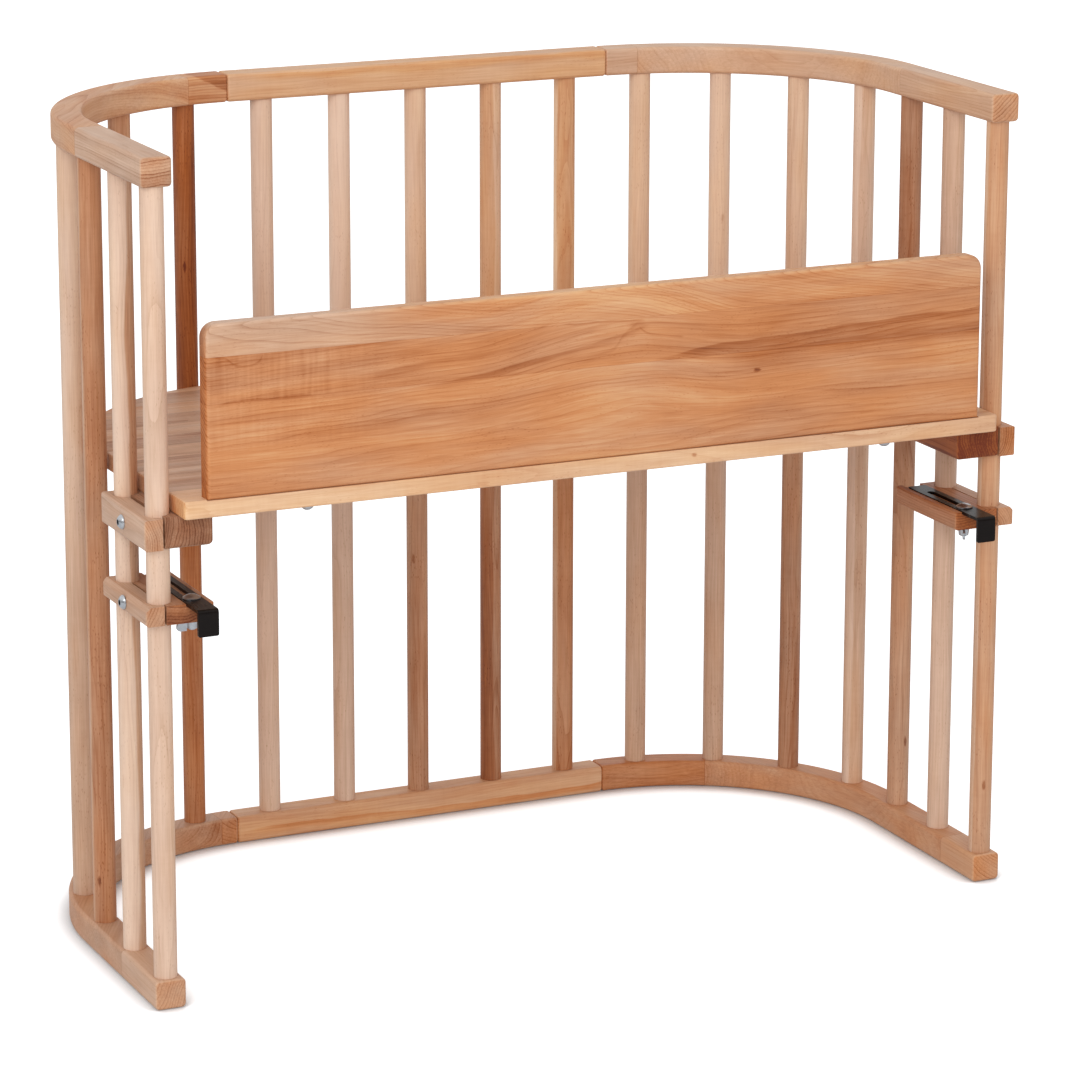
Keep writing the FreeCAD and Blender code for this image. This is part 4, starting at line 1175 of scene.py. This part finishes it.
# %% [markdown]
# Loose hardware shares one zinc. The turned bolt heads have a second one: the lathe
# recipe has written each ring's radius on the mesh as `reach`, so the marks of the tool
# can run round it, and `hollow` marks the walls of the hexagon sockets, which are made
# rougher and painted nearly black: painted shade in the recess.

# %% Zinc plated hardware
GROOVES = 16000.0  # radians of groove for each metre of radius


def zinc(name, rings=False):
    """Bright zinc plating, cloudy and finely scratched; on turned heads, painted shade in the
    sockets.
    """
    material, tree = blank(name)
    source = add(tree, "ShaderNodeTexCoord").outputs["Object"]
    spot = vector(tree, "MULTIPLY", source, TO_MM)
    cloud = scaled_noise(tree, spot, (0.35, 0.35, 0.35), 3.0, 0.6)
    scratch = scaled_noise(tree, spot, (5.0, 0.6, 0.6))
    colour = mixed(tree, cloud, paint(160, 163, 168), paint(214, 216, 219))
    rough = calc(tree, "MULTIPLY_ADD", scratch, 0.16,
                 calc(tree, "MULTIPLY_ADD", cloud, 0.14, 0.16))
    height = calc(tree, "MULTIPLY", scratch, 0.4)
    if rings:
        reach = add(tree, "ShaderNodeAttribute", attribute_name="reach").outputs["Fac"]
        hollow = add(tree, "ShaderNodeAttribute", attribute_name="hollow").outputs["Fac"]
        groove = calc(tree, "SINE", calc(tree, "MULTIPLY", reach, GROOVES))
        height = calc(tree, "MULTIPLY_ADD", groove, 0.5, height)
        # Painted shade: the socket walls are painted nearly black, as the recess is in shade.
        colour = mixed(tree, calc(tree, "MULTIPLY", hollow, 0.85), colour, paint(24, 23, 23))
        rough = calc(tree, "MULTIPLY_ADD", hollow, 0.25, rough)
    look = {"Base Color": colour, "Metallic": 1.0, "Roughness": rough}
    surfaced(tree, look, height, strength=0.2, distance=0.00005)
    return material


plain_zinc, turned_zinc = zinc("zinc"), zinc("zinc turned", rings=True)
loose = ["rail_bolts", "rail_washers", "rail_barrel_nuts", "bearer_screws", "platform_sleeves",
         "board_screws"]
loose += [side + piece for side in ("left_", "right_")
          for piece in ("bed_sleeve", "hook_bolt", "hook_washer", "wing_nut")]
for node in loose:
    coat(nodes[node], plain_zinc)
print(len(loose), "sets of hardware plated")

# %% [markdown]
# ## The clamp bolts
# Each clamp is drawn together by bolts with a low domed head and a hexagon socket. One
# bolt is turned with the lathe recipe. A second recipe sets copies of it on the points
# of a small guide mesh, each turned to the way that its point aims. That is how screws,
# rivets and buttons are best placed: the copy is modelled once, and the guide says where.

# %% Setting recipe
def setting_recipe():
    tree, given = recipe("setting", Fastener="Object", Places="Object", Material="Material")
    fastener = shape_of(tree, given["Fastener"])
    places = shape_of(tree, given["Places"])
    aim = read_back(tree, "aim", "FLOAT_VECTOR")
    facing = add(tree, "FunctionNodeAlignRotationToVector", {"Vector": aim}, axis="Z").outputs[0]
    copies = add(tree, "GeometryNodeInstanceOnPoints",
                 {"Points": places, "Instance": fastener, "Rotation": facing}).outputs[0]
    served(tree, copies, given["Material"])
    return tree


setting = setting_recipe()


def dome_outline(radius, height, rim, crown, shank_radius, shank_length, steps=10):
    """Radius and height of a bolt from the tip of its shank to the crown of its head."""
    sink = (radius ** 2 - crown ** 2 + rim ** 2 - height ** 2) / (2 * (height - rim))
    ball = math.hypot(radius, rim + sink)
    low, high = math.asin(radius / ball), math.asin(crown / ball)
    tip, soft, seam = 0.8, 0.15, 0.02
    line = [(shank_radius - tip, -shank_length), (shank_radius, -shank_length + tip),
            (shank_radius, -seam), (radius - soft, 0.0), (radius, soft), (radius, rim)]
    for k in range(1, steps + 1):
        angle = low + (high - low) * k / steps
        line.append((ball * math.sin(angle), ball * math.cos(angle) - sink))
    return [(r * mm, 0, z * mm) for r, z in line + [(crown * 0.9, height + 0.0005)]]


def aimed(name, places):
    """A guide mesh of single points that each aim somewhere."""
    mesh = bpy.data.meshes.new(name)
    mesh.from_pydata([place for place, aim in places], [], [])
    aims = mesh.attributes.new("aim", "FLOAT_VECTOR", "POINT")
    aims.data.foreach_set("vector", [number for place, aim in places for number in aim])
    return linked(name, mesh)


print("setting recipe:", len(setting.nodes), "nodes")

# %% [markdown]
# The places come from the clamp bars: a bolt sits on the outside of its bar, half way
# between two spindles. The third clamp, at the back, has two bolts.

# %% Set the clamp bolts
outline = drawn("bolt outline", dome_outline(radius=7.0, height=4.4, rim=0.8, crown=3.5,
                                             shank_radius=4.0, shank_length=30.0))
bolt = grown("clamp bolt", lathe, Outline=outline, Sides=40, Socket_width=5 * mm,
             Socket_floor=1.6 * mm, Socket_top=6 * mm, Place=(0, 0, 0), Material=turned_zinc)
left_bar, right_bar, back_bar = (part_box("platform_bar_" + side)
                                 for side in ("left", "right", "back"))
platform_bolt_rise, bed_bolt_rise, bolt_setback = 14.5 * mm, 9 * mm, 0.65 * mm
back_bolt_x = 41.8 * mm
bolt_height = left_bar[0].z + platform_bolt_rise
bolt_y = (left_bar[0].y + left_bar[1].y) / 2 + bolt_setback
platform_places = [((left_bar[0].x, bolt_y, bolt_height), (-1, 0, 0)),
                   ((right_bar[1].x, bolt_y, bolt_height), (1, 0, 0)),
                   ((-back_bolt_x, back_bar[1].y, bolt_height), (0, 1, 0)),
                   ((back_bolt_x, back_bar[1].y, bolt_height), (0, 1, 0))]
bed_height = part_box("left_bed_bar")[0].z + bed_bolt_rise
bolt_sets = {"platform_clamp_bolts": ("platform", platform_places)}
for side, aim in (("left", -1), ("right", 1)):
    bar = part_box(side + "_bed_bar")[0 if aim < 0 else 1]
    bolt_sets[side + "_bed_clamp_bolt"] = (side + "_bed_clamp",
                                           [((bar.x, bolt_y, bed_height), (aim, 0, 0))])
for node, (body, places) in bolt_sets.items():
    guide = aimed("places", places)
    piece = grown(node + ".zinc", setting, Fastener=bolt, Places=guide, Material=turned_zinc)
    stands_for(piece, body, "zinc_steel", node)
    put_away(guide)
put_away(bolt)
put_away(outline)
